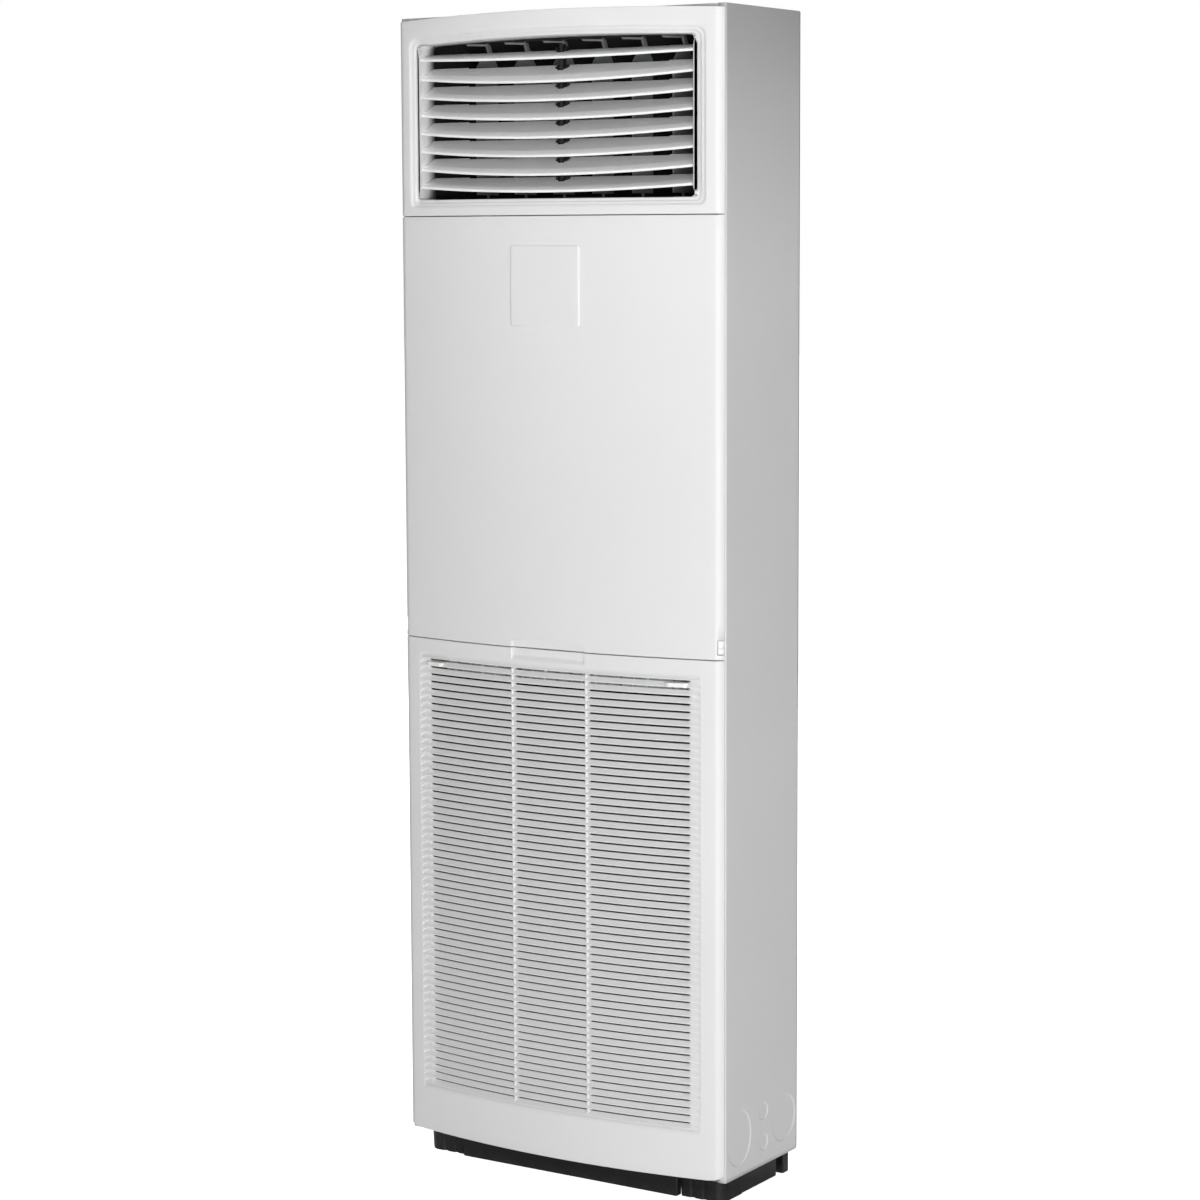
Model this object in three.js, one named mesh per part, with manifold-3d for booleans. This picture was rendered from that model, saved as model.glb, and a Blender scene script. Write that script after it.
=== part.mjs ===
// Floor standing air conditioner: the room cabinet of a split system.
//
// Millimetres, +Z up. X runs across the front (right positive), the front faces -Y, and the origin
// is the middle of the footprint on the floor. Three bowed mouldings make the front: the outlet
// bezel, the plain middle panel and the suction grille. Room air enters through the grille and the
// filter, a sirocco fan blows it up through the slanted coil, and it leaves through the louvres.

import * as THREE from 'three';
import { mergeVertices, toCreasedNormals } from 'three/addons/utils/BufferGeometryUtils.js';
import Module from 'manifold-3d';

const wasm = await Module();
wasm.setup();

// ---------------------------------------------------------------- driving dimensions (mm)

const width = 600;
const depth = 272.5;            // over the cover plate
const height = 1850;
const baseHeight = 40;
const frontDepth = 43;          // front mouldings, from the seam with the sides to the bulge
const cornerRadius = 18;        // vertical corners of the front mouldings
const faceBow = 29;             // how far the front bulges between its corners
const sheet = 1.2;              // painted steel
const wall = 3;                 // moulded plastic
const flange = 14;              // folded edges of the sheet steel
const fit = 0.3;                // gap between pieces that touch
const joint = 1.4;              // visible joint between front mouldings
const footGap = 5.3;            // air under the front mouldings, above the base
const grilleTop = 861.4;        // upper edge of the suction grille
const bezelHeight = 311.9;
const crown = 6;                // rise of the bezel's arched top edge
const returnDepth = 14;         // depth of a moulding's upper and lower edge
const runningGap = 0.6;         // radial, round a pivot

// Air outlet
const outletMargin = 44.5;      // side of the cabinet to the outlet
const outletDrop = 45;          // top of the cabinet to the outlet's upper corners
const outletHeight = 241.5;
const outletRise = 6;           // arch of its upper edge
const outletCorner = 10;
const jambDepth = 69;           // bulge of the face to the rear edge of the outlet's walls
const borderWidth = 17.5;       // sunk border round the outlet, at its sides
const borderHeight = 11.5;      // the same, above and below
const innerBorder = 0.5;        // share of the border that lies a step deeper
const borderDepth = 3;
const innerBorderDepth = 7;

// Horizontal louvre blades
const bladeCount = 8;
const topBladeDrop = 19.9;      // outlet's upper corners to the top pivot
const lowBladeRise = 23.5;      // outlet's lower edge to the bottom pivot
const bladePivotDepth = 41;     // behind the bulge of the face
const bladeThickness = 2.6;
const bladeNose = 4;            // height of the thick front edge
const bladeTilts = [12.5, 24.5, 24.5, 24.5, 24.5, 24.5, 24.5, 20.5];
const bladeRecess = 8;          // blade edge behind the bowed face
const bladeRear = 24;           // pivot to the rear edge, level
const bladeRearStep = 3.5;      // the ends of the blade reach this much further back
const bladeRearStepX = 67;      // and are this long
const bladeEndGap = 1.5;
const leadBlade = 4;
const linkArm = 16;             // louvre pivot to link pin, along the blade
const linkTilt = 24.5;
const linkWidth = 6;
const linkDepth = 10;
const linkGap = 4;              // link to the ears on both sides of it
const pinRadius = 1.8;
const pivotRadius = 2.2;

// Vertical vanes
const vaneCount = 6;
const vanePitch = 73;
const vaneAxisInset = 44;       // rear edge of the outlet's walls to the vane axes
const vaneFront = 30;
const vaneBack = 28;
const vaneThickness = 2.4;
const vanePin = 2.4;
const crankLength = 32;
const crankAngle = 45;          // from straight ahead towards -X
const crankPin = 2;
const crankDrop = 13;           // duct roof to the crank
const leadVane = 3;
const ductWall = 7;
const ductRise = 14;            // outlet's upper corners to the duct roof
const ductRear = 39;            // duct to the back of the cabinet
const ductBend = 110;

// Suction grille
const slatCount = 59;
const lowestSlot = 132.2;       // lower edge of the lowest slot
const topSlotDrop = 34.9;       // upper edge of the grille to the top slot's lower edge
const slotHeight = 3.2;
const troughDepth = 6;
const slabDepth = 8;
const slotMargin = 57;          // side of the cabinet to the slots
const troughMargin = 36;        // and to the ends of their troughs
const noseHeight = 1.8;
const ribX = 69.5;
const ribWidth = 4;
const ribDepth = 5;
const hingeX = 111;
const hingeInset = 14;          // bulge of the face to the tilt axis
const hingeRise = 5.7;          // lower edge of the grille to the tilt axis
const hingePin = 3;
const hingeWidth = 10;

// Filter behind the grille
const filterMargin = 34;        // side of the cabinet to the filter's guides
const filterThickness = 6;
const filterRise = 12.7;        // lower edge of the grille to the guides
const filterDrop = 61.4;        // upper edge of the grille to the guides
const filterRim = 9;

// Finger recess across the joint of grille and middle panel
const recessHalfWidth = 69;
const recessDepth = 4;
const recessHeight = 19.4;      // in the grille
const scoopHeight = 16.6;       // joint to where the scoop meets the bulge
const recessSlope = 0.245;      // how far the scoop goes in for each mm down

// Square cover plate
const plateHalfWidth = 63.5;
const plateHeight = 124.5;
const plateDrop = 45.2;         // upper edge of the middle panel to the plate
const plateProud = 2.5;
const plateSeat = 1.5;

// Clips in the lower corners of the middle panel
const clipHeight = 25;
const clipRise = 6.2;

// Latches of the grille
const latchMargin = 73;
const latchLength = 34;
const latchHeight = 6.8;
const latchDrop = 4.6;          // top slot's lower edge to the middle of the latch

// Fan
const fanX = -20;
const fanZ = 400;
const wheelRadius = 160;
const wheelInner = 132;
const wheelBlades = 22;
const wheelGap = 18;            // wheel to the front and the back of its scroll
const scrollInset = 60;         // seam to the scroll
const scrollRear = 28;          // scroll to the back of the cabinet
const scrollStart = 178;        // spiral radius at the cut-off
const scrollEnd = 265;          // and at the outlet
const cutoffAngle = 65;
const inletRadius = 150;
const throatRadius = 126;
const motorRadius = 52;
const motorLength = 65;
const shaftRadius = 6;
const deckZ = 770;

// Coil
const coilInset = 42;           // seam to the middle of the coil's lower end
const coilBack = 50;            // middle of its upper end to the back of the cabinet
const coilSheetMargin = 4;      // end sheets stand out round the fins
const panWall = 2;
const panHeight = 30;
const coilHeadroom = 56.7;      // under the upper edge of the middle panel
const coilThickness = 44;
const coilMargin = 60;
const finPitch = 24;
const tubeRadius = 4.8;
const returnBends = 5;
const pipeMargin = 38;
const pipeBack = 27;
const pipeGap = 24;             // gas pipe to liquid pipe
const headerRadius = 9;
const headerOut = 30;           // middle of the coil to the suction header, towards the back
const gasRadius = 6.4;
const liquidRadius = 4;

// Electrical box beside the fan
const boxMargin = 32;
const boxWidth = 198;
const boxHeight = 164;
const boxInset = 16;            // seam to the lid

// ---------------------------------------------------------------- derived places

const halfWidth = width / 2;
const front = plateProud - depth / 2;            // bulge of the front mouldings
const back = depth / 2;
const seam = front + frontDepth;                // plane between front mouldings and sides
const faceRadius = ((halfWidth - cornerRadius) ** 2 + faceBow ** 2) / (2 * faceBow);
const faceCentreY = front + faceRadius;
const cornerX = halfWidth - cornerRadius;
const cornerY = faceCentreY - Math.sqrt((faceRadius - cornerRadius) ** 2 - cornerX ** 2);
const cornerStart = Math.asin(cornerX / (faceRadius - cornerRadius));
const insideX = halfWidth - sheet;              // inner face of a side panel
const insideBack = back - 2 * sheet - 2 * fit;  // inner face of the rear flanges
const swageDepth = 3;                           // ribs pressed into the rear panel
const deckBack = back - sheet - swageDepth - fit;
const bodyBottom = baseHeight + fit;
const grilleBottom = baseHeight + footGap;
const middleBottom = grilleTop + joint;
const bezelBottom = height - bezelHeight;
const middleTop = bezelBottom - joint;
const outletHalfWidth = halfWidth - outletMargin;
const outletTop = height - outletDrop;
const outletBottom = outletTop - outletHeight;
const jambBack = front + jambDepth;
const scrollFront = seam + scrollInset;
const scrollBack = back - scrollRear;
const pipeX = -(halfWidth - pipeMargin);
const pipeY = back - pipeBack;
const degrees = Math.PI / 180;

// Y of the bowed face at X
const faceY = (x) => faceCentreY - Math.sqrt(faceRadius ** 2 - x ** 2);

// ---------------------------------------------------------------- finishes

const finish = (color, roughness, metalness = 0) =>
  new THREE.MeshStandardMaterial({ color, roughness, metalness });
const frontPlastic = finish(0xdedfdf, 0.42);
const paintedSteel = finish(0xc4c5c5, 0.5);
const bladePlastic = finish(0xc9cac9, 0.4);
const whitePlastic = finish(0xf4f4f2, 0.35);
const blackPaint = finish(0x161616, 0.55);
const blackPlastic = finish(0x1b1b1b, 0.5);
const galvanised = finish(0x9aa0a3, 0.45, 0.7);
const aluminium = finish(0xb8bcc0, 0.5, 0.8);
const copper = finish(0xb3683c, 0.35, 0.9);
const brass = finish(0xb08d45, 0.35, 0.9);
const foam = finish(0x1f2022, 0.95);
const greyPlastic = finish(0x55585a, 0.5);

// ---------------------------------------------------------------- solids

// A closed geometry as a solid that can be cut and joined
function solid(geometry) {
  const bare = geometry.clone();
  bare.deleteAttribute('normal');
  bare.deleteAttribute('uv');
  const merged = mergeVertices(bare, 1e-4);
  return new wasm.Manifold(new wasm.Mesh({
    numProp: 3,
    vertProperties: merged.attributes.position.array,
    triVerts: new Uint32Array(merged.index.array),
  }));
}

const join = (...parts) => parts.reduce((sum, part) => sum.add(part));
const cut = (body, ...tools) => tools.reduce((rest, tool) => rest.subtract(tool), body);

function toGeometry(body) {
  const mesh = body.getMesh();
  const geometry = new THREE.BufferGeometry();
  geometry.setAttribute('position', new THREE.BufferAttribute(new Float32Array(mesh.vertProperties), 3));
  geometry.setIndex(new THREE.BufferAttribute(new Uint32Array(mesh.triVerts), 1));
  return toCreasedNormals(geometry, 0.5);
}

// Extrusions of a flat outline. An outline is a list of [a, b] points, or a THREE.Shape.
function extrude(outline, length) {
  const shape = Array.isArray(outline) ? new THREE.Shape(outline.map(([a, b]) => new THREE.Vector2(a, b)))
    : outline;
  return new THREE.ExtrudeGeometry(shape, { depth: length, bevelEnabled: false, curveSegments: 6 });
}

const turnToX = new THREE.Matrix4().set(0, 0, 1, 0, 1, 0, 0, 0, 0, 1, 0, 0, 0, 0, 0, 1);

// outline in X and Y
const alongZ = (outline, z0, z1) => solid(extrude(outline, z1 - z0).translate(0, 0, z0));
// outline in X and Z
const alongY = (outline, y0, y1) => solid(extrude(outline, y1 - y0).rotateX(Math.PI / 2).translate(0, y1,
  0));
// outline in Y and Z
const alongX = (outline, x0, x1) => solid(extrude(outline, x1 - x0).applyMatrix4(turnToX).translate(x0, 0,
  0));

function box(x0, x1, y0, y1, z0, z1) {
  const geometry = new THREE.BoxGeometry(x1 - x0, y1 - y0, z1 - z0);
  return solid(geometry.translate((x0 + x1) / 2, (y0 + y1) / 2, (z0 + z1) / 2));
}

// Points on an arc, from angle a0 to a1 in steps equal parts
function arc(cx, cy, radius, a0, a1, steps) {
  const at = (i) => a0 + ((a1 - a0) * i) / steps;
  return Array.from({ length: steps + 1 }, (_, i) =>
    [cx + radius * Math.cos(at(i)), cy + radius * Math.sin(at(i))]);
}

const circle = (cx, cy, radius, sides) => arc(cx, cy, radius, 0, 2 * Math.PI, sides).slice(0, sides);

const rodX = (x0, x1, y, z, radius, sides = 12) => alongX(circle(y, z, radius, sides), x0, x1);
const rodY = (y0, y1, x, z, radius, sides = 12) => alongY(circle(x, z, radius, sides), y0, y1);
const rodZ = (z0, z1, x, y, radius, sides = 12) => alongZ(circle(x, y, radius, sides), z0, z1);

// A profile of [radius, y] points turned about a line along Y through (x, z)
function turned(profile, x, z, steps) {
  const points = [...profile, profile[0]].map(([r, y]) => new THREE.Vector2(r, y));
  if (THREE.ShapeUtils.area(points) < 0) points.reverse();
  return solid(new THREE.LatheGeometry(points, steps).translate(x, 0, z));
}

function tube(points, radius, sides, steps) {
  const path = new THREE.CatmullRomCurve3(points.map((p) => new THREE.Vector3(...p)), false, 'centripetal');
  const section = new THREE.Shape(circle(0, 0, radius, sides).map(([a, b]) => new THREE.Vector2(a, b)));
  return solid(new THREE.ExtrudeGeometry(section, { steps, extrudePath: path, bevelEnabled: false }));
}

const mirrored = (body, side) => (side > 0 ? body : body.mirror([1, 0, 0]));

// ---------------------------------------------------------------- the bowed front

const slotHalfWidth = halfWidth - slotMargin;
const troughHalfWidth = halfWidth - troughMargin;
const cornerSteps = 3;

// Stops across half the face: equal steps to the end of the grille's slots, then the corner
const faceStops = (steps) => Array.from({ length: steps + 1 }, (_, i) => (slotHalfWidth * i) / steps);
const plainStops = faceStops(3);
const grilleStops = faceStops(2);

// Right half of the front's plan, at a depth behind the face, from the middle to the rear plane
function halfPlan(inset, rear, stops) {
  const radius = cornerRadius - inset;
  const angles = [...stops.map((x) => Math.asin(x / faceRadius)), cornerStart];
  const face = angles.map((a) =>
    [(faceRadius - inset) * Math.sin(a), faceCentreY - (faceRadius - inset) * Math.cos(a)]);
  if (radius <= 0.5) return [...face, [cornerX, rear]];
  const end = rear >= cornerY ? Math.PI / 2 : Math.acos((cornerY - rear) / radius);
  const corner = arc(cornerX, cornerY, radius, -Math.PI / 2 + cornerStart, -Math.PI / 2 + end, cornerSteps);
  const plan = [...face, ...corner.slice(1)];
  return rear > cornerY ? [...plan, [cornerX + radius, rear]] : plan;
}

function frontPlan(inset, rear, stops) {
  const right = halfPlan(inset, rear, stops);
  const left = right.slice(1).reverse().map(([x, y]) => [-x, y]);
  return [...left, ...right];
}

// Everything behind the face, from an inset to a rear plane
const behindFace = (inset, rear, z0, z1, stops = plainStops) => alongZ(frontPlan(inset, rear, stops), z0,
  z1);

const mouldingRear = seam - fit;

// A front moulding: a bowed wall with its corners and short returns, open behind
function frontShell(z0, z1, stops = plainStops) {
  const outer = behindFace(0, mouldingRear, z0, z1, stops);
  const hollow = behindFace(wall, seam + 1, z0 + wall, z1 - wall, stops);
  const mouth = behindFace(returnDepth, seam + 1, z0 - 1, z1 + 1, stops);
  return cut(outer, hollow, mouth);
}

// An upright rectangle in X and Z whose top edge is arched
function archedOutline(halfW, z0, z1, rise, radius) {
  const arch = (x) => z1 + rise * (1 - (x / halfW) ** 2);
  const inner = halfW - radius;
  const top = Array.from({ length: 7 }, (_, i) => inner * (1 - (2 * i) / 6)).map((x) => [x, arch(x)]);
  const low = arch(inner) - radius;
  const rightCorner = arc(inner, low, radius, 0, Math.PI / 2, 2).slice(0, 2);
  const leftCorner = rightCorner.map(([x, z]) => [-x, z]).reverse();
  return [[-halfW, z0], [halfW, z0], ...rightCorner, ...top, ...leftCorner];
}

// ---------------------------------------------------------------- scene

const root = new THREE.Group();

function add(name, body, material, parent = root) {
  const mesh = new THREE.Mesh(toGeometry(body), material);
  mesh.name = name;
  parent.add(mesh);
  return mesh;
}

// ---------------------------------------------------------------- base and sheet steel

function baseFrame() {
  const side = halfWidth - 14;
  const footInner = side - 81;
  const railFront = seam + 9;
  const footFront = seam + 20;
  const rear = back - 2;
  const cornerR = 45;
  const plate = box(-side, side, footFront + 5, rear, baseHeight - 3, baseHeight);
  const frontRail = box(-footInner, footInner, railFront, railFront + 14, 2, baseHeight);
  const footPlan = [[footInner, footFront], ...arc(side - cornerR, footFront + cornerR, cornerR,
    -Math.PI / 2, 0, 4),
    [side, footFront + 62], [footInner, footFront + 62]];
  const foot = alongZ(footPlan, 0, baseHeight);
  const sideRail = box(side - 12, side, footFront + 50, back - 42, 3, baseHeight);
  const rearFoot = box(side - 42, side, rear - 18, rear, 0, baseHeight);
  const rearRail = box(-side + 20, side - 20, rear - 10, rear, 6, baseHeight);
  const half = join(foot, sideRail, rearFoot);
  return join(plate, frontRail, rearRail, half, mirrored(half, -1));
}

// Pressed-in knock-outs low on a side panel. Places and radii across are shares of the panel's depth.
const panelDepth = back - seam;
const knockOuts = [
  { y: 0.183, z: 103, across: 0.167, up: 46, sides: 16 },
  { y: 0.524, z: 127.5, across: 0.063, up: 14.3, sides: 10 },
  { y: 0.524, z: 77.5, across: 0.063, up: 14.3, sides: 10 },
  { y: 0.804, z: 102, across: 0.169, up: 38.4, sides: 16 },
];
const pressDepth = 1.5;

function knockOut({ y, z, across, up, sides }, grow, x0, x1) {
  const outline = circle(0, 0, 1, sides).map(([a, b]) =>
    [seam + y * panelDepth + a * (across * panelDepth + grow), z + b * (up + grow)]);
  return alongX(outline, x0, x1);
}

function sidePanel() {
  const fold = 3;
  const rear = back - sheet - fit;
  const plan = [
    [halfWidth - flange, seam], [halfWidth - fold, seam],
    ...arc(halfWidth - fold, seam + fold, fold, -Math.PI / 2, 0, 3).slice(1),
    [halfWidth, rear], [halfWidth - flange, rear], [halfWidth - flange, rear - sheet],
    [halfWidth - sheet, rear - sheet], [halfWidth - sheet, seam + sheet],
    [halfWidth - flange, seam + sheet],
  ];
  const bosses = knockOuts.map((k) => knockOut(k, 0, insideX - pressDepth, insideX + 0.1));
  const dents = knockOuts.map((k) => knockOut(k, -sheet, halfWidth - pressDepth, halfWidth + 1));
  return cut(join(alongZ(plan, baseHeight, height), ...bosses), ...dents);
}

// A shallow sheet tray: a plate with edges folded to one side
function tray(x, y0, y1, z, edge) {
  const low = Math.min(z, z + edge);
  const high = Math.max(z, z + edge);
  const cavityLow = edge > 0 ? low + sheet : low - 1;
  const cavityHigh = edge > 0 ? high + 1 : high - sheet;
  return cut(box(-x, x, y0, y1, low, high),
    box(-x + sheet, x - sheet, y0 + sheet, y1 - sheet, cavityLow, cavityHigh));
}

function topPlate() {
  return tray(insideX - fit, seam + sheet + fit, insideBack, height, -flange);
}

function bottomPlate() {
  return tray(insideX - fit, seam + sheet + fit, insideBack, bodyBottom, flange);
}

function rearPanel() {
  const x = halfWidth - 0.5;
  const panel = box(-x, x, back - sheet, back, baseHeight + 2, height - 1);
  const swageCount = 4;
  const swages = Array.from({ length: swageCount }, (_, i) => {
    const z = baseHeight + ((height - baseHeight) * (i + 1)) / (swageCount + 1);
    const profile = [[back - sheet, z - 14], [back - sheet - swageDepth, z - 9],
      [back - sheet - swageDepth, z + 9], [back - sheet, z + 14]];
    return { ridge: alongX(profile.map(([a, b]) => [a + 0.01, b]), -x + 40, x - 40),
      hollow: alongX(profile.map(([a, b]) => [a + sheet + 0.2, b]), -x + 41, x - 41) };
  });
  return cut(join(panel, ...swages.map((s) => s.ridge)), ...swages.map((s) => s.hollow));
}

// ---------------------------------------------------------------- front mouldings

const bladePivotY = front + bladePivotDepth;
const topBladeZ = outletTop - topBladeDrop;
const bladePitch = (topBladeZ - outletBottom - lowBladeRise) / (bladeCount - 1);
const bladePivotZ = (i) => topBladeZ - bladePitch * (i - 1);

function outletBezel() {
  const z0 = bezelBottom;
  const plain = frontShell(z0, height);
  const crownCut = alongY([[-halfWidth - 1, height - crown], ...Array.from({ length: 13 }, (_, i) => {
    const x = -halfWidth + (i * width) / 12;
    return [x, height - crown * (x / halfWidth) ** 2];
  }), [halfWidth + 1, height - crown], [halfWidth + 1, height + 5], [-halfWidth - 1, height + 5]],
    front - 5, back);
  const topReturn = cut(behindFace(0, mouldingRear, height - crown - wall, height),
    behindFace(returnDepth, seam + 1, 0, height + 1));

  const frame = (extraX, extraZ, r) => archedOutline(outletHalfWidth + extraX, outletBottom - extraZ,
    outletTop + extraZ, outletRise, r);
  const backing = alongY(frame(borderWidth + wall, borderHeight + wall, outletCorner + 8), front - 5,
    mouldingRear)
    .intersect(cut(behindFace(0, mouldingRear, z0, height), behindFace(innerBorderDepth + wall, seam + 1,
      z0, height)));
  const jamb = alongY(frame(wall, wall, outletCorner + wall), front - 5, jambBack)
    .intersect(behindFace(0, jambBack, z0, height));
  const sunk = (extraX, extraZ, r, deep) => cut(alongY(frame(extraX, extraZ, r), front - 5, seam),
    behindFace(deep, back, z0 - 5, height + 5));
  const border = sunk(borderWidth, borderHeight, outletCorner + 6, borderDepth);
  const inner = sunk(borderWidth * innerBorder, borderHeight * innerBorder, outletCorner + 3,
    innerBorderDepth);
  const mouth = alongY(frame(0, 0, outletCorner), front - 5, jambBack + 5);
  const pinHoles = Array.from({ length: bladeCount }, (_, i) =>
    rodX(-outletHalfWidth - 8, outletHalfWidth + 8, bladePivotY, bladePivotZ(i + 1),
      pivotRadius + runningGap, 6));
  return cut(join(plain, topReturn, backing, jamb), border, inner, mouth, crownCut, ...pinHoles);
}

// Finger recess: a flat scoop in the middle panel that runs on into the grille
const recessCrestZ = middleBottom + scoopHeight;
const scoopY = (z) => front + recessSlope * (recessCrestZ - z);

function scoop(z0) {
  const high = recessCrestZ + 12;
  const profile = [[front - 8, z0], [scoopY(z0), z0], [scoopY(high), high], [front - 8, high]];
  return alongX(profile, -recessHalfWidth, recessHalfWidth);
}

const clipBottom = middleBottom + clipRise;
const clipTop = clipBottom + clipHeight;
const plateTop = middleTop - plateDrop;
const plateBottom = plateTop - plateHeight;

function middlePanel() {
  const shell = frontShell(middleBottom, middleTop);
  const backing = behindFace(wall / 2, mouldingRear, middleBottom, recessCrestZ + 6)
    .intersect(box(-recessHalfWidth - wall, recessHalfWidth + wall, front, front + 13, middleBottom,
      recessCrestZ + 6));
  const seat = cut(box(-plateHalfWidth - fit, plateHalfWidth + fit, front - 5, seam, plateBottom - fit,
    plateTop + fit),
    behindFace(plateSeat, back, plateBottom - 5, plateTop + 5));
  const notch = box(halfWidth - 11, halfWidth + 1, seam - 12, seam + 1, clipBottom, clipTop);
  return cut(join(shell, backing), scoop(middleBottom - 5), seat, notch, mirrored(notch, -1));
}

function coverPlate() {
  const outline = box(-plateHalfWidth, plateHalfWidth, front - 10, seam, plateBottom, plateTop);
  const rearCut = behindFace(plateSeat - fit, back, plateBottom - 5, plateTop + 5);
  const bulge = behindFace(-plateProud, mouldingRear, plateBottom - 1, plateTop + 1);
  return cut(outline.intersect(bulge), rearCut);
}

function panelClip() {
  return join(box(halfWidth - 9, halfWidth - 4, seam - 9, seam - fit, clipBottom + 2, clipTop - 2),
    box(halfWidth - 9, halfWidth - 5.5, seam - 10.5, seam - 8, clipBottom + 6, clipTop - 6));
}

const slatPitch = (grilleTop - topSlotDrop - lowestSlot) / (slatCount - 1);
const slotBottom = (i) => lowestSlot + slatPitch * i;

// A closed skin over stations of [x, section]; toPoint gives a section point its X, Y and Z
function lofted(stations, toPoint) {
  const outline = stations[0][1].map(([a, b]) => new THREE.Vector2(a, b));
  const clockwise = THREE.ShapeUtils.isClockWise(outline);
  const count = outline.length;
  const positions = stations.flatMap(([x, section]) => section.flatMap((point) => toPoint(point, x)));
  const index = [];
  const face = (a, b, c) => index.push(a, ...(clockwise ? [c, b] : [b, c]));
  for (let s = 0; s + 1 < stations.length; s += 1) {
    for (let k = 0; k < count; k += 1) {
      const a = s * count + k;
      const b = s * count + ((k + 1) % count);
      face(a, b, a + count);
      face(b, b + count, a + count);
    }
  }
  const last = (stations.length - 1) * count;
  for (const [a, p, q] of THREE.ShapeUtils.triangulateShape(outline, [])) {
    const [b, c] = clockwise ? [q, p] : [p, q];
    face(a, c, b);
    face(last + a, last + b, last + c);
  }
  const geometry = new THREE.BufferGeometry();
  geometry.setAttribute('position', new THREE.BufferAttribute(new Float32Array(positions), 3));
  geometry.setIndex(index);
  return solid(geometry);
}

// Sections of [depth behind the face, z] swept across the bowed face
const sweptAcross = (stations) => lofted(stations, ([inset, z], x) => {
  const angle = Math.asin(x / faceRadius);
  const r = faceRadius - inset;
  return [r * Math.sin(angle), faceCentreY - r * Math.cos(angle), z];
});

const slotStations = [...grilleStops.slice(1).reverse().map((x) => -x), ...grilleStops];

// The room between two slats: a slanted trough that opens into a through slot
function slatGap(i) {
  const low = slotBottom(i);
  const top = low + slotHeight;
  const foot = top - slatPitch + noseHeight;
  const open = slabDepth + 2;
  const out = 2;
  const rise = (low - foot) / troughDepth;
  const section = [[-out, foot - out * rise], [troughDepth, low], [open, low], [open, top], [-out, top]];
  return sweptAcross(slotStations.map((x) => [x, section]));
}

const railX = halfWidth - filterMargin;         // filter guides on the back of the grille
const railBottom = grilleBottom + filterRise;
const railTop = grilleTop - filterDrop;
const filterFront = seam + fit;
const filterBack = filterFront + filterThickness;
const hingeY = front + hingeInset;
const hingeZ = grilleBottom + hingeRise;
const latchZ = slotBottom(slatCount - 1) - latchDrop;
const latchX = halfWidth - latchMargin;
const latchHalf = latchHeight / 2;
const stemHalf = latchHalf - 1.2;

function suctionGrille() {
  const shell = frontShell(grilleBottom, grilleTop, grilleStops);
  const behind = (inset, rear) => behindFace(inset, rear, 0, height, grilleStops);
  const slabBottom = lowestSlot - slatPitch;
  const slabTop = slotBottom(slatCount - 1) + slotHeight + 5;
  const slab = cut(behind(0, mouldingRear).intersect(box(-troughHalfWidth - 4, troughHalfWidth + 4, front,
    seam, slabBottom, slabTop)),
    behind(slabDepth, seam + 1));
  const rib = cut(behind(slabDepth + fit, seam), behind(slabDepth + ribDepth, seam + 1))
    .intersect(box(ribX - ribWidth / 2, ribX + ribWidth / 2, front, seam, slabBottom + 4, slabTop - 1));
  const ribFoot = (z) => cut(behind(slabDepth - 0.5, seam), behind(slabDepth + ribDepth, seam + 1))
    .intersect(box(ribX - ribWidth / 2, ribX + ribWidth / 2, front, seam, z, z + 3));

  const recessBottom = grilleTop - recessHeight;
  const pocketBack = cut(behind(0, mouldingRear), behind(recessDepth + wall, seam + 1))
    .intersect(box(-recessHalfWidth - wall, recessHalfWidth + wall, front, seam, recessBottom - wall,
      grilleTop));
  const pocket = cut(box(-recessHalfWidth, recessHalfWidth, front - 5, seam, recessBottom, grilleTop + 5),
    behind(recessDepth, back));

  const guide = join(
    box(railX + fit, railX + 3, faceY(railX) + slabDepth - 1, filterBack + 2, railBottom, railTop),
    box(railX - 8, railX + 3, filterBack + 0.5, filterBack + 2, railBottom, railTop),
    box(railX - 8, railX + 3, filterFront - 1, filterBack + 2, railBottom, railBottom + 3));
  const lug = alongX([[hingeY - 5, grilleBottom + 1], [hingeY + 8, grilleBottom + 1],
    [hingeY + 8, hingeZ + 9],
    [hingeY - 5, hingeZ + 9]], hingeX - hingeWidth / 2 - 6, hingeX - hingeWidth / 2 - 2);
  const pin = rodX(hingeX - hingeWidth / 2 - 3, hingeX + hingeWidth / 2 + 3, hingeY, hingeZ, hingePin, 10);
  const bracketNotch = box(hingeX - hingeWidth / 2 - 1.5, hingeX + hingeWidth / 2 + 4, hingeY - 9, seam,
    grilleBottom - 1, grilleBottom + wall + 1);
  const latchWindow = box(latchX - 6, latchX + 14, faceY(latchX) - 5, seam, latchZ - stemHalf - 0.4,
    latchZ + stemHalf + 0.4);
  const lowCorner = alongX([[seam + 1, grilleBottom - 1], [seam + 1, grilleBottom + 9],
    [seam - 17, grilleBottom - 1]],
    halfWidth - 20, halfWidth + 1);

  const half = join(guide, lug, pin, rib, ribFoot(slabBottom + 4), ribFoot(slabTop - 4));
  const halfCuts = [bracketNotch, latchWindow, lowCorner];
  const gaps = Array.from({ length: slatCount }, (_, i) => slatGap(i));
  const blank = join(shell, slab, pocketBack);
  const open = cut(blank, pocket, ...halfCuts, ...halfCuts.map((c) => mirrored(c, -1)), ...gaps);
  return join(open, half, mirrored(half, -1));
}

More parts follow.
